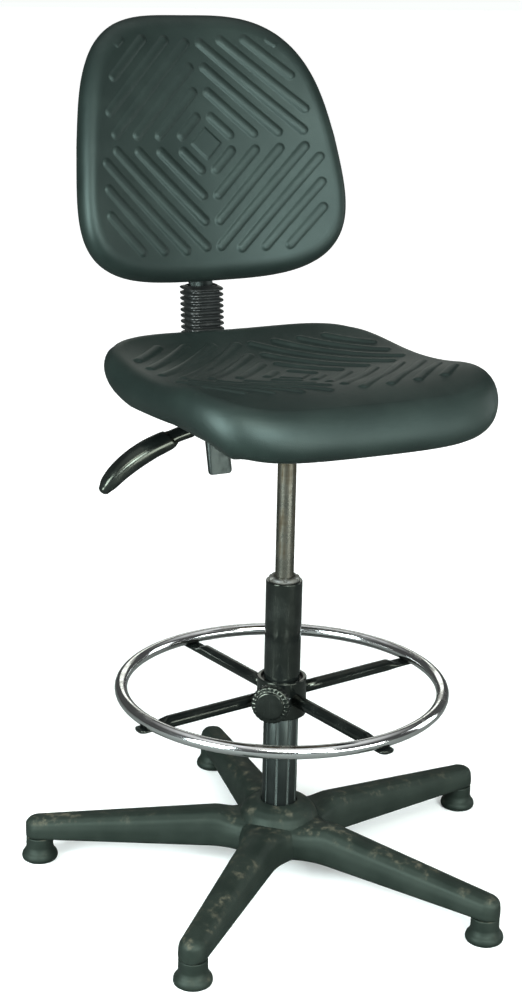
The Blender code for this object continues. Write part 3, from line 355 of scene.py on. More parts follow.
# %% Stoved enamel
def make_enamel():
    g = Graph("black_enamel", (0.012, 0.013, 0.014), 0.42, specular=0.45, shine=(0.84, 1.0, 0.94))
    peel = g.noise(420.0, 2.0)
    wear = g.noise(45.0, 6.0, 0.7)
    g.feed("Base Color", g.mix(wear.ramp(0.60, 0.78), (0.0050, 0.0060, 0.0060), (0.020, 0.020, 0.018)))
    g.feed("Roughness", 0.38 + wear.ramp(0.45, 0.75) * 0.20)
    g.bump(peel, 0.00006, 0.7)
    return g.material


# %% [markdown]
# **Chrome** is nearly a mirror; what makes it look used is the haze of shoe soles along its top.

# %% Chrome plate
def make_chrome():
    g = Graph("chrome_plate", (0.80, 0.80, 0.81), 0.08, metallic=1.0)
    haze = g.noise(30.0, 5.0, 0.65)
    soles = g.facing_up().ramp(0.2, 1.0) * haze.ramp(0.42, 0.68)
    g.feed("Base Color", g.mix(soles * 0.6, (0.80, 0.80, 0.81), (0.50, 0.48, 0.45)))
    g.feed("Roughness", 0.11 + soles * 0.20 + g.noise(600.0, 2.0).ramp(0.6, 0.8) * 0.06)
    g.bump(g.noise(300.0, 3.0), 0.00002, 0.5)
    return g.material


# %% [markdown]
# **Worn steel** for the gas cylinder: oil and dust make brown bands round it, and old film runs down it.

# %% Worn steel
def make_steel():
    g = Graph("worn_steel", (0.24, 0.22, 0.19), 0.38, metallic=0.85, shine=(0.22, 0.21, 0.17))
    runs = g.noise(120.0, 5.0, 0.6, (1.0, 1.0, 0.10))
    bands = g.noise(38.0, 4.0, 0.6, (0.15, 0.15, 1.0))
    film = (runs * 0.55 + bands * 0.45).ramp(0.40, 0.62)
    g.feed("Base Color", g.mix(film, (0.135, 0.133, 0.114), (0.050, 0.040, 0.026)))
    g.feed("Roughness", 0.24 + film * 0.22)
    g.feed("Metallic", 0.95 - film * 0.30)
    g.bump(runs, 0.00008, 0.5)
    return g.material


# %% [markdown]
# **Zinc** on screws, pins and stems is bright with a faint spangle; **rubber** gathers dust in its folds;
# **acetal** is waxy and even; **birch ply** shows rings on its faces and plies along its edges.

# %% Small finishes
def make_zinc():
    g = Graph("zinc_plate", (0.52, 0.53, 0.55), 0.34, metallic=1.0)
    spangle = g.cells(350.0)
    g.feed("Base Color", g.mix(spangle.ramp(0.1, 0.9), (0.44, 0.45, 0.47), (0.60, 0.61, 0.62)))
    g.feed("Roughness", 0.26 + spangle * 0.20)
    return g.material


def make_rubber():
    g = Graph("moulded_rubber", (0.010, 0.011, 0.011), 0.34, specular=0.5)
    dust = g.noise(90.0, 5.0, 0.7)
    g.feed("Base Color", g.mix(dust.ramp(0.52, 0.80), (0.0090, 0.0102, 0.0100), (0.030, 0.031, 0.029)))
    g.feed("Roughness", 0.26 + dust * 0.18)
    g.bump(g.noise(800.0, 2.0), 0.00005, 0.6)
    return g.material


def make_acetal():
    g = Graph("grey_acetal", (0.060, 0.058, 0.052), 0.45)
    cloud = g.noise(80.0, 3.0)
    g.feed("Base Color", g.mix(cloud.ramp(0.3, 0.7), (0.035, 0.035, 0.032), (0.085, 0.080, 0.070)))
    g.feed("Roughness", 0.38 + cloud * 0.18)
    return g.material


def make_birch():
    g = Graph("birch_ply", (0.40, 0.30, 0.19), 0.62)
    grain = g.noise(55.0, 5.0, 0.6, (1.0, 0.06, 1.0))
    plies = g.node("ShaderNodeTexWave", {"bands_direction": "Z"}, {"Vector": g.place, "Scale": 160.0,
                                                                  "Distortion": 0.6})
    wood = g.mix(grain.ramp(0.35, 0.70), (0.46, 0.35, 0.22), (0.27, 0.18, 0.10))
    g.feed("Base Color", g.mix(plies.ramp(0.55, 0.95) * 0.35, wood, (0.14, 0.09, 0.05)))
    g.feed("Roughness", 0.55 + grain * 0.15)
    return g.material


foam, nylon, gloss, enamel = make_foam(), make_nylon(), make_gloss(), make_enamel()
chrome, steel, zinc = make_chrome(), make_steel(), make_zinc()
rubber, acetal, birch = make_rubber(), make_acetal(), make_birch()
print("finishes:", len(bpy.data.materials))

# %% [markdown]
# ## The five-armed star
# One injection moulding: a hub with five tapering arms, hollow beneath and stiffened with cross ribs.
# An arm is a loft. Its section carries the crowned outside and, in the same loop, the hollow below, whose
# depth falls to nothing at every rib, so the ribs cost no extra pieces.

# %% Star
POCKETS = ((0.080, 0.140), (0.144, 0.204), (0.208, 0.262), (0.266, 0.312))
ARM_SECTION = ((0.80, 0.0), (0.97, 0.06), (1.0, 0.20), (0.98, 0.50), (0.86, 0.78), (0.55, 0.95),
               (0.20, 1.0))
ARM_TIP_HALF = 0.0195
ARM_TIP_TOP = 0.0660
ARM_SKIN = 0.009


def arm_sections():
    """Half width and crown fall in a line from root to tip. Inside the hub the arm flares and sinks to meet
    it, and past the glide's circle it closes in a quarter round, where both follow cos(turn)."""
    edges = [spot + step for pair in POCKETS for spot in pair for step in (-0.0005, 0.0005)]
    stations = np.unique(np.concatenate([np.linspace(0.034, GLIDE_CIRCLE, 44), edges]))
    share = (stations - 0.060) / (GLIDE_CIRCLE - 0.060)
    flare = 0.0240 * np.clip((0.098 - stations) / 0.060, 0.0, 1.0) ** 2
    half = 0.0275 - 0.0080 * share + flare
    top = 0.0900 - 0.0240 * share - 0.0080 * smooth_step(-stations, -0.094, -0.056)
    depth = sum(smooth_step(stations, a - 0.0006, a + 0.0006)
                - smooth_step(stations, b - 0.0006, b + 0.0006) for a, b in POCKETS)
    turn = np.radians(np.linspace(4.0, 88.0, 14))
    stations = np.concatenate([stations, GLIDE_CIRCLE + ARM_TIP_HALF * np.sin(turn)])
    half = np.concatenate([half, ARM_TIP_HALF * np.cos(turn)])
    top = np.concatenate([top, ARM_TIP_TOP - 0.0120 * (1.0 - np.cos(turn))])
    depth = np.concatenate([depth, np.zeros(len(turn))])
    shape = np.array(ARM_SECTION)
    outside = fillet(np.vstack([shape, shape[::-1] * (-1.0, 1.0)]), 0.10, 5, False)
    y = half[:, None] * outside[None, :, 0]
    z = ARM_UNDERSIDE + (top - ARM_UNDERSIDE)[:, None] * outside[None, :, 1]
    wide = np.maximum(np.minimum(half - 0.005, half * 0.76), half * 0.3)
    roof = ARM_UNDERSIDE + depth * (top - ARM_SKIN - ARM_UNDERSIDE)
    floor = np.full(len(half), ARM_UNDERSIDE)
    hollow_y = np.stack([-wide, -0.72 * wide, 0.72 * wide, wide], -1)
    hollow_z = np.stack([floor, roof, roof, floor], -1)
    y, z = np.hstack([y, hollow_y]), np.hstack([z, hollow_z])
    x = np.broadcast_to(stations[:, None], y.shape)
    return np.stack([x, y, z], -1)


HUB = ((0.0246, 0.0330), (0.0500, 0.0330), (0.0545, 0.0370), (0.0565, 0.0460), (0.0565, 0.0680),
       (0.0550, 0.0800), (0.0505, 0.0900), (0.0425, 0.0975), (0.0330, 0.1015), (0.0246, 0.1025))
surface("star_hub", turned(fillet(HUB, 0.0022)), "base", "base_star", nylon, True)
arm = arm_sections()
for k in range(ARM_COUNT):
    heading = ARM_PHASE + 360.0 / ARM_COUNT * k
    surface(f"star_arm_{k + 1}", round_z(arm, heading), "base", "base_star", nylon)

# %% [markdown]
# **Glides** are little mushrooms: a soft rounded foot, a waist and a collar that meets the arm's end with
# a thin shadow line. They are turned shapes, so one profile makes all five.

# %% Glides
GLIDE = ((0.0061, 0.0110), (0.0150, 0.0000), (0.0210, 0.0000), (0.0245, 0.0020), (0.0256, 0.0062),
         (0.0245, 0.0105), (0.0208, 0.0150), (0.0191, 0.0200), (0.0190, 0.0356), (0.0061, 0.0356))
glide = turned(fillet(GLIDE, 0.0016), 72)
for k in range(ARM_COUNT):
    spot = round_z(np.array([GLIDE_CIRCLE, 0.0, 0.0]), ARM_PHASE + 360.0 / ARM_COUNT * k)
    surface(f"glide_foot_{k + 1}", glide + spot, "base", f"glide_{k + 1}", nylon, True)

# %% [markdown]
# ## Column
# The lower post is a fluted extrusion that keys the foot ring's liner so it can slide but not turn.
# A flute is a narrow groove with soft lips: the radius dips by a smooth pulse every 40 degrees.

# %% Fluted post
POST_RADIUS = 0.02425
POST_BORE = 0.0204
FLUTE_DEPTH = 0.0014
FLUTE_PITCH = 40.0  # degrees
FLUTE_HEADING = -127.5


def fluted_post():
    """Each row is (height, how fluted, size), and its reach is size plus how fluted * the fluted radius."""
    turn = full_turn(432)
    away = np.abs((np.degrees(turn) - FLUTE_HEADING + FLUTE_PITCH / 2) % FLUTE_PITCH - FLUTE_PITCH / 2)
    radius = POST_RADIUS - FLUTE_DEPTH * smooth_step(-away, -5.0, -2.8)
    rows = [(0.0370, 0, 0.0053), (0.0370, 0, 0.0235), (0.0376, 1, 0.0), (0.2846, 1, 0.0),
            (0.2852, 1, -0.0007), (0.2852, 0, POST_BORE), (0.0440, 0, POST_BORE), (0.0440, 0, 0.0053)]
    height, fluted, size = np.array(rows).T[..., None]
    return around(fluted * radius + size, height, turn)


surface("fluted_post", fluted_post(), "base", "fluted_column", enamel, True)

# %% [markdown]
# The sleeve above it is a plain gloss cover with a pressed lip. The grey collar on top is the guide
# bushing for the gas spring; six notches in its rim let it be drawn out with a spanner.

# %% Sleeve, bushing and gas cylinder
SLEEVE = ((0.0150, 0.2400), (0.0200, 0.2400), (0.0200, 0.2856), (0.0250, 0.2856), (0.0250, 0.4280),
          (0.0150, 0.4280))
surface("sleeve_cover", turned(fillet(SLEEVE, 0.0012)), "base", "upper_sleeve", gloss,
        True)
NOTCH_PITCH = 60.0  # degrees
NOTCH_HEADING = 7.0
NOTCH_FLOOR = 0.0166


def notched_bushing():
    """Each row is (radius, height, how notched). In a notch the rim's radius falls to NOTCH_FLOOR."""
    turn = full_turn(360)
    away = np.abs((np.degrees(turn) - NOTCH_HEADING + NOTCH_PITCH / 2) % NOTCH_PITCH - NOTCH_PITCH / 2)
    notch = smooth_step(-away, -7.5, -6.0)
    rows = [(0.0131, 0.4000, 0), (0.0147, 0.4000, 0), (0.0147, 0.4283, 0), (0.0215, 0.4283, 0),
            (0.0215, 0.4303, 0), (0.0213, 0.4308, 1), (0.0207, 0.4330, 1), (0.0201, 0.4335, 1),
            (0.0131, 0.4335, 0)]
    radius, height, cut = np.array(rows).T[..., None]
    return around(radius - cut * notch * (radius - NOTCH_FLOOR), height, turn)


surface("spring_collar", notched_bushing(), "base", "guide_bushing", acetal, True)
CYLINDER = ((0.0090, 0.6100), (0.0090, 0.3000), (0.0127, 0.3000), (0.0127, 0.6322), (0.0043, 0.6322),
            (0.0043, 0.6210), (0.0090, 0.6200))
surface("spring_tube", turned(fillet(CYLINDER, 0.0010), 72), "seat", "gas_cylinder", steel,
        True)

# %% [markdown]
# ## Foot ring
# A bent tube, chromed after its butt weld is dressed, lies on four spokes. Each spoke is a tube pressed
# flat where it passes under the ring, and all four are moulded into the sliding hub.

# %% Ring and hub
RING_RADIUS = 0.2220
RING_TUBE = 0.00875
RING_HEIGHT = 0.2730


def torus(radius, tube, height):
    """The reach is radius + tube cos(roll) and the height goes with tube sin(roll)."""
    turn, roll = full_turn(256)[:, None], full_turn(28)[None, :]
    return around(radius + tube * np.cos(roll), height + tube * np.sin(roll), turn)


ring = torus(RING_RADIUS, RING_TUBE, RING_HEIGHT)
surface("chrome_ring", ring, "foot_rest", "foot_ring", chrome, True)
RING_HUB = ((0.0285, 0.2340), (0.0343, 0.2340), (0.0343, 0.2885), (0.0285, 0.2885))
surface("ring_boss", turned(fillet(RING_HUB, 0.0016)), "foot_rest", "ring_hub", gloss,
        True)

# %% [markdown]
# **Spokes** change their section along their length, so one function gives all of a spoke: a round tube by the
# hub, a flat tab under the ring, and a rounded end.

# %% Spokes
SPOKE_HALF = 0.0088
SPOKE_TOP = 0.2716
SPOKE_LOW = 0.2540
SPOKE_END = 0.228
TAB_WIDENING = 0.0027
TAB_TOP = 0.26385
TAB_LOW = 0.25885


def spoke_sections():
    """Round near the hub, then pressed to a flat tab whose top just meets the ring. A section is the
    superellipse (cos^n, sin^n) with n falling from 1 to 0.55 as the tube is pressed."""
    nose_turn = np.radians(np.linspace(15.0, 88.0, 9))
    reach = np.concatenate([np.linspace(0.0345, 0.183, 6), np.linspace(0.186, 0.206, 10),
                            np.linspace(0.21, SPOKE_END, 4), SPOKE_END + 0.0060 * np.sin(nose_turn)])
    flat = smooth_step(reach, 0.185, 0.206)
    round_end = np.sqrt(np.clip(1.0 - ((reach - SPOKE_END) / 0.0061) ** 2, 0.02, 1.0))
    nose = np.where(reach > SPOKE_END, 0.45 + 0.55 * round_end, 1.0)
    half = (SPOKE_HALF + TAB_WIDENING * flat) * nose
    top = SPOKE_TOP + (TAB_TOP - SPOKE_TOP) * flat
    low = SPOKE_LOW + (TAB_LOW - SPOKE_LOW) * flat
    roll = full_turn(32)[None, :]
    c, s = np.cos(roll), np.sin(roll)
    squared = 1.0 - 0.45 * flat[:, None]
    y = half[:, None] * np.sign(c) * np.abs(c) ** squared
    z = ((top + low) / 2)[:, None] + ((top - low) / 2)[:, None] * np.sign(s) * np.abs(s) ** squared
    return np.stack([np.broadcast_to(reach[:, None], y.shape), y, z], -1)


spoke = spoke_sections()
for k in range(SPOKE_COUNT):
    tube = round_z(spoke, SPOKE_PHASE + 360.0 / SPOKE_COUNT * k)
    surface(f"spoke_tube_{k + 1}", tube, "foot_rest", f"spoke_{k + 1}", gloss)

# %% [markdown]
# **Clamp knobs** have fine ribs to grip. The ribs are a rounded cosine on the radius that fades out towards
# the neck and the raised cap, and low spokes of the same count run in to the cap across the face.

# %% Knobs
KNOB_RIBS = 24
FACE_SPOKE = 0.0006  # height of the spokes on a knob's face
STUD_HOLE = 0.0044  # radius
RING_KNOB_HEADING = math.radians(-130.0)
RING_KNOB_HEIGHT = 0.2704


def knob(radius, neck, start, bore_reach):
    """Sections along +Z from the neck at `start` to the cap. Each row is (radius as a share, height, depth
    of the ribs as a share, how much of a face spoke), and the stud's hole goes `bore_reach` in."""
    turn = full_turn(12 * KNOB_RIBS)
    rib = np.abs(np.cos(KNOB_RIBS / 2 * turn))
    wave = 0.5 * (1.0 - rib ** 0.7)
    spoke = FACE_SPOKE * smooth_step(rib, 0.80, 0.96)
    hole = STUD_HOLE / radius
    rows = [(hole, bore_reach, 0.0, 0), (hole, 0.0, 0.0, 0), (0.42, 0.0, 0.0, 0),
            (0.44, neck - 0.002, 0.0, 0), (0.50, neck, 0.0, 0), (0.92, neck + 0.0006, 0.05, 0),
            (0.985, neck + 0.0020, 0.06, 0), (1.0, neck + 0.0038, 0.07, 0), (1.0, neck + 0.0104, 0.07, 0),
            (0.985, neck + 0.0120, 0.06, 0), (0.95, neck + 0.0131, 0.04, 0), (0.90, neck + 0.0134, 0.02, 1),
            (0.80, neck + 0.0136, 0.0, 1), (0.745, neck + 0.0138, 0.0, 1), (0.725, neck + 0.0146, 0.0, 0),
            (0.71, neck + 0.0160, 0.0, 0), (0.69, neck + 0.0166, 0.0, 0), (0.62, neck + 0.0168, 0.0, 0)]
    size, level, share, raised = np.array(rows).T[..., None]
    return around(radius * size * (1.0 - share * wave), start + (level + raised * spoke), turn)


c, s = math.cos(RING_KNOB_HEADING), math.sin(RING_KNOB_HEADING)
knob_axes = np.array([[-s, c, 0.0], [0.0, 0.0, 1.0], [c, s, 0.0]])
ring_knob = knob(0.0270, 0.0200, 0.0353, 0.0170) @ knob_axes + [0.0, 0.0, RING_KNOB_HEIGHT]
surface("ring_knob_head", ring_knob, "ring_clamp", "ring_knob", gloss)

# %% [markdown]
# ## Moulded pads
# Both pads are poured in one piece: a dished face, a rounded rim and a back. The face is a square grid
# drawn out to the pad's outline, because the raised bars run at 45 degrees and a grid's diagonals then
# follow their edges. First comes the height of the bars over any point of the face.

# %% Raised bars
def raised_bars(x, y, first, pitch, gap, half, height, cut_above, cut_below, side_above, side_below, lean):
    """Ring k is |x| + |y| = first + k pitch, broken at both axes and stopped short of the rim.
    A bar is a capsule round that line with the soft profile height (1 - (d / half)^2) ^ 0.65."""
    a, b = np.abs(x), np.abs(y)
    above = y > 0.0
    c = first + np.clip(np.round((a + b - first) / pitch), 0, 6) * pitch
    stop = np.where(above, (side_above - lean * c) / (1.0 - lean), side_below)
    start = np.maximum(gap, c - np.where(above, cut_above, cut_below))
    end = np.minimum(c - gap, stop)
    t = np.clip((a - b + c) / 2.0, start, np.maximum(start, end))
    d = np.hypot(a - t, b - (c - t))
    d = np.where(end > start + 0.004, d, half)
    bar = np.clip(1.0 - (d / half) ** 2, 0.0, 1.0) ** 0.65
    diamond = smooth_step(-(a + b), -0.0235, -0.0215) * 0.7
    return height * np.maximum(bar, diamond)


print("a bar's profile:", [round(max(0.0, 1.0 - d * d) ** 0.65, 2) for d in (0.0, 0.5, 0.8, 1.0)])

# %% [markdown]
# The rim and the back of a pad are rings that continue from the face's border: the rim turns through 180
# degrees about it, and the back's rings draw in to a point in the middle.

# %% Pad surface
PAD_GRID = 252
RIM_RINGS = 16
BACK_RINGS = (0.86, 0.78, 0.70, 0.55, 0.40, 0.25, 0.10)


def pad(name, body, node, outline, face, rear, relief, inset, facing):
    """Face points are reach * (border point). On the rim a point draws in by inset (1 - cos(angle)) and
    stands at (1 + sin(angle)) / 2 of the way from the back to the face."""
    line = np.linspace(-1.0, 1.0, PAD_GRID + 1)
    a, b = np.meshgrid(line, line, indexing="ij")
    reach = np.maximum(np.abs(a), np.abs(b))
    edge = outline(a, b)
    length = np.maximum(np.linalg.norm(edge, axis=-1, keepdims=True), 1e-6)
    flat = edge * (1.0 - inset / length) * reach[..., None]
    x, y = flat[..., 0], flat[..., 1]
    points = [facing(x, y, face(x, y) + relief(x, y)).reshape(-1, 3)]
    index = np.arange(a.size).reshape(a.shape)
    border = np.concatenate([index[:-1, 0], index[-1, :-1], index[:0:-1, -1], index[0, :0:-1]])
    rings, total = [border], a.size
    rim = edge.reshape(-1, 2)[border]
    rim_length = np.linalg.norm(rim, axis=-1, keepdims=True)
    for angle in np.radians(np.linspace(90.0, -90.0, RIM_RINGS + 1)[1:]):
        p = rim * (1.0 - (1.0 - math.cos(angle)) * inset / rim_length)
        low, high = rear(p[:, 0], p[:, 1]), face(p[:, 0], p[:, 1])
        points.append(facing(p[:, 0], p[:, 1], low + (high - low) * (1.0 + math.sin(angle)) / 2.0))
    for share in BACK_RINGS:
        p = rim * share
        points.append(facing(p[:, 0], p[:, 1], rear(p[:, 0], p[:, 1])))
    for _ in points[1:]:
        rings.append(np.arange(total, total + len(border)))
        total += len(border)
    zero = np.zeros(1)
    points.append(facing(zero, zero, rear(zero, zero)))
    grid = np.stack([index[:-1, :-1], index[1:, :-1], index[1:, 1:], index[:-1, 1:]], -1).reshape(-1, 4)
    strips = [np.stack([near, far, np.roll(far, -1), np.roll(near, -1)], -1)
              for near, far in zip(rings, rings[1:])]
    fan = np.stack([rings[-1], np.full(len(border), total), np.roll(rings[-1], -1)], -1)
    made = skin(name, np.vstack(points), np.vstack([grid, *strips]), fan, body, node, foam)


print("pad grid:", PAD_GRID, "by", PAD_GRID)

# %% [markdown]
# **Seat.** The saddle's height is a short polynomial: a dish across, a rise to the rear, and a waterfall
# that drops away past the knees. Its outline is a squared oval |x/a|^n + |y/b|^n = 1.

# %% Seat
SEAT_HALF = np.array([0.2164, 0.2217])
SEAT_MIDDLE_Y = -0.0192
SEAT_PATTERN_Y = -0.0150
SEAT_POWER = 4.8
SEAT_BOARD_TOP = 0.6640
SEAT_RIM_INSET = 0.024


def seat_outline(a, b):
    length = np.maximum(np.hypot(a, b), 1e-9)
    c, s = a / length, b / length
    reach = (np.abs(c) ** SEAT_POWER + np.abs(s) ** SEAT_POWER + 1e-12) ** (-1.0 / SEAT_POWER)
    return np.stack([SEAT_HALF[0] * reach * c, SEAT_HALF[1] * reach * s], -1)


def seat_face(x, y):
    u, v = x / 0.23, (y + SEAT_MIDDLE_Y) / 0.22
    waterfall = 0.1248 * np.minimum(v + 0.45, 0.0) ** 2
    return (0.71323 - 0.00377 * v + 0.04226 * v * v - waterfall
            + u * u * (0.01792 - 0.00476 * v - 0.01226 * v * v))


def seat_rear(x, y):
    v = (y + SEAT_MIDDLE_Y) / 0.22
    tuck = 0.0090 * (x / 0.23) ** 2 * np.maximum(1.0 - ((v + 0.35) / 0.60) ** 2, 0.0)
    rim = seat_face(x, y) - 0.05606 + 0.00800 * v + tuck
    reach = np.maximum(np.abs(x) / SEAT_HALF[0], np.abs(y) / SEAT_HALF[1])
    return SEAT_BOARD_TOP + (rim - SEAT_BOARD_TOP) * smooth_step(reach, 0.78, 0.89)


def seat_relief(x, y):
    return raised_bars(x, y + SEAT_MIDDLE_Y - SEAT_PATTERN_Y, first=0.046, pitch=0.0395, gap=0.0120,
                       half=0.0070, height=0.0026, cut_above=0.155, cut_below=0.140, side_above=0.176,
                       side_below=0.176, lean=0.0)


def seat_facing(x, y, height):
    return np.stack([x, y + SEAT_MIDDLE_Y, height], -1)


pad("seat_cushion", "seat", "seat_pad", seat_outline, seat_face, seat_rear, seat_relief, SEAT_RIM_INSET,
    seat_facing)

# %% [markdown]
# **Backrest.** It is drawn in the frame of the leaning bar: u across, v up the bar, w forward. The face
# wraps round the sitter and bulges at the loins, and its outline is squarer below than above.

# %% Backrest
BACK_HALF_WIDTH = 0.1949
BACK_UPPER = 0.1895
BACK_LOWER = 0.1883
BACK_BLOCK_FACE = 0.0205
BACK_RIM_INSET = 0.025


def back_outline(a, b):
    length = np.maximum(np.hypot(a, b), 1e-9)
    c, s = a / length, b / length
    upper = s > 0.0
    power = np.where(upper, 3.27, 3.84)
    reach = (np.abs(c) ** power + np.abs(s) ** power + 1e-12) ** (-1.0 / power)
    v = reach * s
    taper = np.where(upper, 0.157, 0.118)
    height = np.where(upper, BACK_UPPER, BACK_LOWER)
    return np.stack([BACK_HALF_WIDTH * reach * c * (1.0 - taper * v), v * height], -1)


def back_face(u, v):
    return 0.0685 + 2.126 / 2.0 * u * u - 1.114 / 2.0 * v * v - 0.50 * v ** 3


def back_rear(u, v):
    side = np.minimum(np.abs(u) / BACK_HALF_WIDTH, 1.0)
    end = np.minimum(np.abs(v) / BACK_LOWER, 1.0)
    line = back_face(u, v) - (0.048 + 0.0107 * side * side - 0.0080 * end * end)
    share = np.clip(np.maximum(np.abs(u) / 0.05, np.abs(v) / 0.07) - 1.0, 0.0, 1.0)
    return BACK_BLOCK_FACE + (line - BACK_BLOCK_FACE) * share * share * (3.0 - 2.0 * share)


def back_relief(u, v):
    return raised_bars(u, v, first=0.048, pitch=0.0355, gap=0.0115, half=0.0068, height=0.0026,
                       cut_above=0.147, cut_below=0.147, side_above=0.160, side_below=0.162, lean=0.28)


LEAN_UP = np.array([0.0, math.sin(BACK_LEAN), math.cos(BACK_LEAN)])
LEAN_FORWARD = np.array([0.0, -math.cos(BACK_LEAN), math.sin(BACK_LEAN)])


def bar_frame(u, station, forward):
    """A point across, along and forward of the leaning bar."""
    across = np.multiply.outer(np.asarray(u, float), [1.0, 0.0, 0.0])
    along = np.multiply.outer(np.asarray(station, float), LEAN_UP)
    return BAR_FOOT + across + along + np.multiply.outer(np.asarray(forward, float), LEAN_FORWARD)


def back_facing(u, v, w):
    return bar_frame(u, v + PAD_STATION, w)


pad("back_cushion", "backrest", "back_pad", back_outline, back_face, back_rear, back_relief, BACK_RIM_INSET,
    back_facing)

# %% [markdown]
# ## Behind the sitter
# The bar is flat steel with eased corners, the nylon block spreads its load into the foam, and the rubber
# gaiter covers the slot where the bar passes behind the seat.

# %% Bar, block and knob
BAR_HALF_WIDTH = 0.0172
BAR_HALF_LENGTH = 0.2500
BAR_HALF_THICKNESS = 0.0040
BLOCK_STATION = 0.4500
KNOB_STATION = 0.1200


def plate(u, station, low, high, edge):
    """A flat plate in the bar's frame: its outline is drawn in at both faces by a quarter round."""
    rows = [(low, edge), (low + edge * 0.3, edge * 0.3), (low + edge, 0.0), (high - edge, 0.0),
            (high - edge * 0.3, edge * 0.3), (high, edge)]
    middle = np.array([u.mean(), station.mean()])
    outline = np.stack([u, station], -1) - middle
    away = outline / np.linalg.norm(outline, axis=1, keepdims=True)
    return np.array([bar_frame(*(middle + outline - away * shrink).T, np.full(len(u), forward))
                     for forward, shrink in rows])


u, station = rounded_box_outline(BAR_HALF_WIDTH, BAR_HALF_LENGTH, 0.0060).T
bar_plate = plate(u, station + BAR_HALF_LENGTH, -BAR_HALF_THICKNESS, BAR_HALF_THICKNESS, 0.0009)
surface("bar_steel", bar_plate, "backrest", "back_bar", enamel)
u, station = rounded_box_outline(0.0320, 0.0450, 0.0140).T
block = plate(u, station + BLOCK_STATION, 0.0043, 0.0202, 0.0016)
surface("bar_block", block, "backrest", "back_block", nylon)
x, y, z = np.moveaxis(knob(0.0220, 0.0060, 0.0115, 0.0150), -1, 0)
back_knob = bar_frame(x, y + KNOB_STATION, -z)
surface("back_knob_head", back_knob, "back_clamp", "back_knob", gloss)

# %% [markdown]
# **Gaiter.** Nine soft pleats: each is a half-round lip on a narrower wall, so the section's half widths
# follow tuck = 4.5 mm (1 - sqrt(1 - q^2)), where q runs from -1 to 1 across a lip.

# %% Gaiter
PLEATS = 9
PLEAT_ROWS = 14
PLEAT_DEPTH = 0.0045
GAITER_LOW = np.array([0.2769, 0.7120])
GAITER_HIGH = np.array([0.2837, 0.7860])


def gaiter_section(half_across, half_deep, corner, share):
    """A level rounded rectangle at a share of the gaiter's leaning line, given as (y, z)."""
    outline = rounded_box_outline(half_across, half_deep, corner)
    y, z = GAITER_LOW + (GAITER_HIGH - GAITER_LOW) * share
    return np.column_stack([outline[:, 0], outline[:, 1] + y, np.full(len(outline), z)])


def gaiter():
    """The pleated outside from bottom to top, then the plain passage for the bar, from top to bottom."""
    level = np.linspace(0.0, 1.0, PLEATS * PLEAT_ROWS + 1)
    q = ((level * PLEATS) % 1.0 - 0.5) / 0.36
    tuck = PLEAT_DEPTH * (1.0 - np.sqrt(np.clip(1.0 - q * q, 0.0, 1.0)))
    shallow = 0.0060 * smooth_step(level, 0.94, 1.0)
    outside = [gaiter_section(0.0275 - inset, 0.0240 - inset - less, 0.0120, share)
               for share, inset, less in zip(level, tuck, shallow)]
    inside = [gaiter_section(0.0215, 0.0120, 0.0060, share) for share in (1.0, 0.0)]
    return np.array(outside + inside)


surface("gaiter", gaiter(), "back_carrier", "bellows", rubber, True)

# %% [markdown]
# ## Height lever
# The steel lever ends in a long drooping grip with a step where it meets the hand. Its line and its
# section sizes are given at a few stations and drawn through them with a smooth curve.

# %% Lever grip
GRIP = np.array([
    (-0.1240, 0.0310, 0.6430, 0.0110, 0.0070), (-0.1300, 0.0315, 0.6420, 0.0130, 0.0085),
    (-0.1550, 0.0320, 0.6350, 0.0130, 0.0085), (-0.1600, 0.0320, 0.6320, 0.0160, 0.0120),
    (-0.1850, 0.0320, 0.6225, 0.0170, 0.0130), (-0.2080, 0.0320, 0.6105, 0.0165, 0.0130),
    (-0.2280, 0.0320, 0.5965, 0.0150, 0.0120), (-0.2420, 0.0320, 0.5830, 0.0130, 0.0100),
    (-0.2490, 0.0320, 0.5745, 0.0085, 0.0070)])  # x, y, z, half width, half height
NOSE_ROWS = 7


def through(stations):
    """Catmull-Rom: between P1 and P2 the curve leaves along P2 - P0 and arrives along P3 - P1."""
    padded = np.vstack([2 * stations[0] - stations[1], stations, 2 * stations[-1] - stations[-2]])
    p0, p1, p2, p3 = padded[:-3, None], padded[1:-2, None], padded[2:-1, None], padded[3:, None]
    t = np.linspace(0.0, 1.0, 8, endpoint=False)[None, :, None]
    curve = 0.5 * (2 * p1 + (p2 - p0) * t + (2 * p0 - 5 * p1 + 4 * p2 - p3) * t ** 2
                   + (3 * p1 - p0 - 3 * p2 + p3) * t ** 3)
    return np.vstack([curve.reshape(-1, stations.shape[1]), stations[-1:]])


def grip_sections():
    """Sections square to the line, each a soft rectangle (cos^0.8, sin^0.8). Past its last station the line
    goes on for 5.5 mm sin(nose) while the section shrinks by cos(nose), which closes it in a round nose."""
    line = through(GRIP)
    along = np.gradient(line[:, :3], axis=0)
    along /= np.linalg.norm(along, axis=1, keepdims=True)
    sideways = np.cross([0.0, 0.0, 1.0], along)
    sideways /= np.linalg.norm(sideways, axis=1, keepdims=True)
    up = np.cross(along, sideways)
    nose = np.radians(np.linspace(15.0, 87.0, NOSE_ROWS))
    tip = np.repeat(line[-1:], NOSE_ROWS, 0)
    tip[:, :3] += along[-1] * 0.0055 * np.sin(nose)[:, None]
    tip[:, 3:] *= np.cos(nose)[:, None]
    line = np.vstack([line, tip])
    sideways = np.vstack([sideways, np.repeat(sideways[-1:], NOSE_ROWS, 0)])
    up = np.vstack([up, np.repeat(up[-1:], NOSE_ROWS, 0)])
    c, s = np.cos(full_turn(40)), np.sin(full_turn(40))
    a, b = np.sign(c) * np.abs(c) ** 0.8, np.sign(s) * np.abs(s) ** 0.8
    return (line[:, None, :3] + sideways[:, None] * (line[:, 3, None] * a)[..., None]
            + up[:, None] * (line[:, 4, None] * b)[..., None])


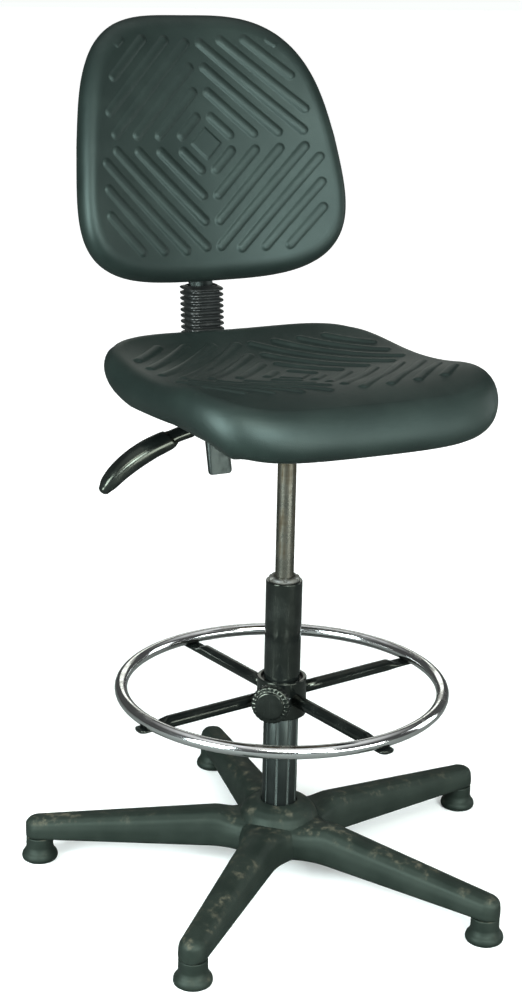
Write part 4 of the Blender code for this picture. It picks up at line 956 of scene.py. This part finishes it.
surface("grip_moulding", grip_sections(), "height_lever", "lever_grip", gloss)

# %% [markdown]
# ## Finishes for the frame's own pieces
# The pieces under the seat and inside the column are simple pressings, pins and turned parts. Their frame
# shapes are already right, so they only change their finish.

# %% Frame pieces
BY_SLOT = {"moulded_nylon": nylon, "moulded_foam": foam, "glossy_plastic": gloss, "black_paint": enamel,
           "chrome": chrome, "worn_steel": steel, "zinc": zinc, "soft_rubber": rubber, "grey_acetal": acetal,
           "birch_board": birch}
carried = 0
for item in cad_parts.values():
    for place in item.material_slots:
        place.material = BY_SLOT[place.material.name.split(".")[0]]
        carried += 1
print("frame pieces finished:", carried)

# %% [markdown]
# ## Studio
# A pale floor, a bright ceiling, a large soft box on the sitter's right and weaker ones in front, on the
# left and behind, as a showroom would set for a black chair: the boxes draw the long soft shines.

# %% Floor
def make_floor():
    """A light table to the camera, dimmer under the chair so that its shadows stay soft. To everything else
    it is a grey paper, so that the black mouldings keep their dark undersides."""
    mesh = bpy.data.meshes.new("floor")
    r = 40.0
    mesh.from_pydata([(-r, -r, 0.0), (r, -r, 0.0), (r, r, 0.0), (-r, r, 0.0)], [], [(0, 1, 2, 3)])
    floor = bpy.data.objects.new("floor", mesh)
    bpy.context.scene.collection.objects.link(floor)
    g = Graph("floor_paper", (0.95, 0.95, 0.95), 0.9, specular=0.1)
    seen = g.node("ShaderNodeLightPath", {}, {}, "Is Camera Ray")
    away = (g.axis("X") ** 2.0 + g.axis("Y") ** 2.0) ** 0.5
    table = g.mix(away.ramp(0.5, 2.8), (0.10, 0.10, 0.10), (0.66, 0.66, 0.66))
    g.feed("Base Color", g.mix(seen, (0.13, 0.135, 0.13), (0.97, 0.97, 0.97)))
    g.feed("Emission Color", g.mix(seen, (0.0, 0.0, 0.0), table))
    g.shader.inputs["Emission Strength"].default_value = 1.0
    mesh.materials.append(g.material)


make_floor()
print("floor laid")

# %% [markdown]
# **Soft boxes** are area lights. A box's size sets how soft a shadow's edge is, and the black mouldings show
# the box itself as a long shine, so each one stands where a shine is wanted.

# %% Lights
def soft_box(name, spot, target, size, power, colour):
    """A rectangular area light aimed at a point."""
    data = bpy.data.lights.new(name, "AREA")
    data.shape = "RECTANGLE"
    data.size, data.size_y = size
    data.energy = power
    data.color = colour
    item = bpy.data.objects.new(name, data)
    bpy.context.scene.collection.objects.link(item)
    item.visible_camera = False
    item.location = spot
    item.rotation_euler = (Vector(target) - Vector(spot)).to_track_quat("-Z", "Y").to_euler()


soft_box("key_box", (-2.3, -0.7, 1.10), (0.0, 0.0, 0.95), (1.1, 1.6), 145.0, (0.88, 1.0, 0.99))
soft_box("front_box", (-0.6, -2.6, 2.5), (0.0, 0.0, 0.7), (2.2, 0.9), 80.0, (0.95, 1.0, 0.94))
soft_box("low_box", (-0.30, -2.8, 1.35), (0.0, 0.1, 0.95), (0.9, 0.7), 90.0, (0.88, 1.0, 1.0))
soft_box("floor_box", (0.9, -2.3, 0.35), (0.0, -0.1, 0.45), (1.6, 0.6), 42.0, (0.94, 1.0, 0.96))
soft_box("side_box", (2.6, -0.4, 0.9), (0.0, 0.0, 0.5), (1.0, 1.6), 18.0, (0.94, 1.0, 0.98))
soft_box("rear_box", (1.05, 2.2, 1.30), (0.0, 0.0, 0.71), (1.6, 0.5), 3.6, (0.96, 1.0, 0.92))
print("lights:", len(bpy.data.lights))

# %% [markdown]
# **Surround.** Chrome shows the whole room, so the room is a formula too: its strength grows with how
# steeply a ray climbs, and it is mixed with plain white for the camera's own rays.

# %% Surround
def make_surround():
    """The room seen by rays that climb: bright overhead to light the floor, dark near the horizon so that
    chrome and gloss have something black to show. The camera itself sees plain white."""
    world = bpy.data.worlds.new("surround")
    bpy.context.scene.world = world
    world.use_nodes = True
    sky = Nodes(world.node_tree)
    direction = sky.node("ShaderNodeTexCoord", {}, {}, "Generated")
    climb = sky.node("ShaderNodeSeparateXYZ", {}, {0: direction}, "Z")
    seen = sky.node("ShaderNodeLightPath", {}, {}, "Is Camera Ray")
    strength = seen + (1.0 - seen) * (0.07 + 0.93 * climb.ramp(0.60, 0.99))
    background = world.node_tree.nodes["Background"]
    background.inputs["Color"].default_value = (0.97, 1.0, 0.985, 1.0)
    world.node_tree.links.new(strength.socket, background.inputs["Strength"])


make_surround()
bpy.context.scene.view_settings.view_transform = "Standard"
print("surround:", bpy.context.scene.world.name)

# %% [markdown]
# ## Camera
# The camera looks down at the chair from the front, a little to the sitter's right. Its place is given from
# the column's axis by a distance, a height and the chair's turn, and its aim by yaw, pitch and roll angles.

# %% Camera
TURN, YAW, PITCH, ROLL = 0.47514, -0.01444, 0.29126, 0.02088
DISTANCE, HEIGHT = 2.3467, 1.2388


def make_camera():
    aim = Vector((math.sin(YAW) * math.cos(PITCH), math.cos(YAW) * math.cos(PITCH), -math.sin(PITCH)))
    right = Vector((math.cos(YAW), -math.sin(YAW), 0.0))
    up = right.cross(aim)
    rolled_right = math.cos(ROLL) * right + math.sin(ROLL) * up
    rolled_up = -math.sin(ROLL) * right + math.cos(ROLL) * up
    turn = Matrix.Rotation(-TURN, 3, "Z")
    data = bpy.data.cameras.new("camera")
    data.lens = 65.17
    data.sensor_width = 36.0
    data.clip_end = 200.0
    item = bpy.data.objects.new("camera", data)
    bpy.context.scene.collection.objects.link(item)
    spot = turn @ Vector((0.0, -DISTANCE, HEIGHT)) + Vector(AXIS)
    frame_of = Matrix((rolled_right, rolled_up, -aim)).transposed()
    item.matrix_world = Matrix.Translation(spot) @ (turn @ frame_of).to_4x4()
    bpy.context.scene.camera = item
    return item


print("camera at", [round(x, 3) for x in make_camera().matrix_world.translation])
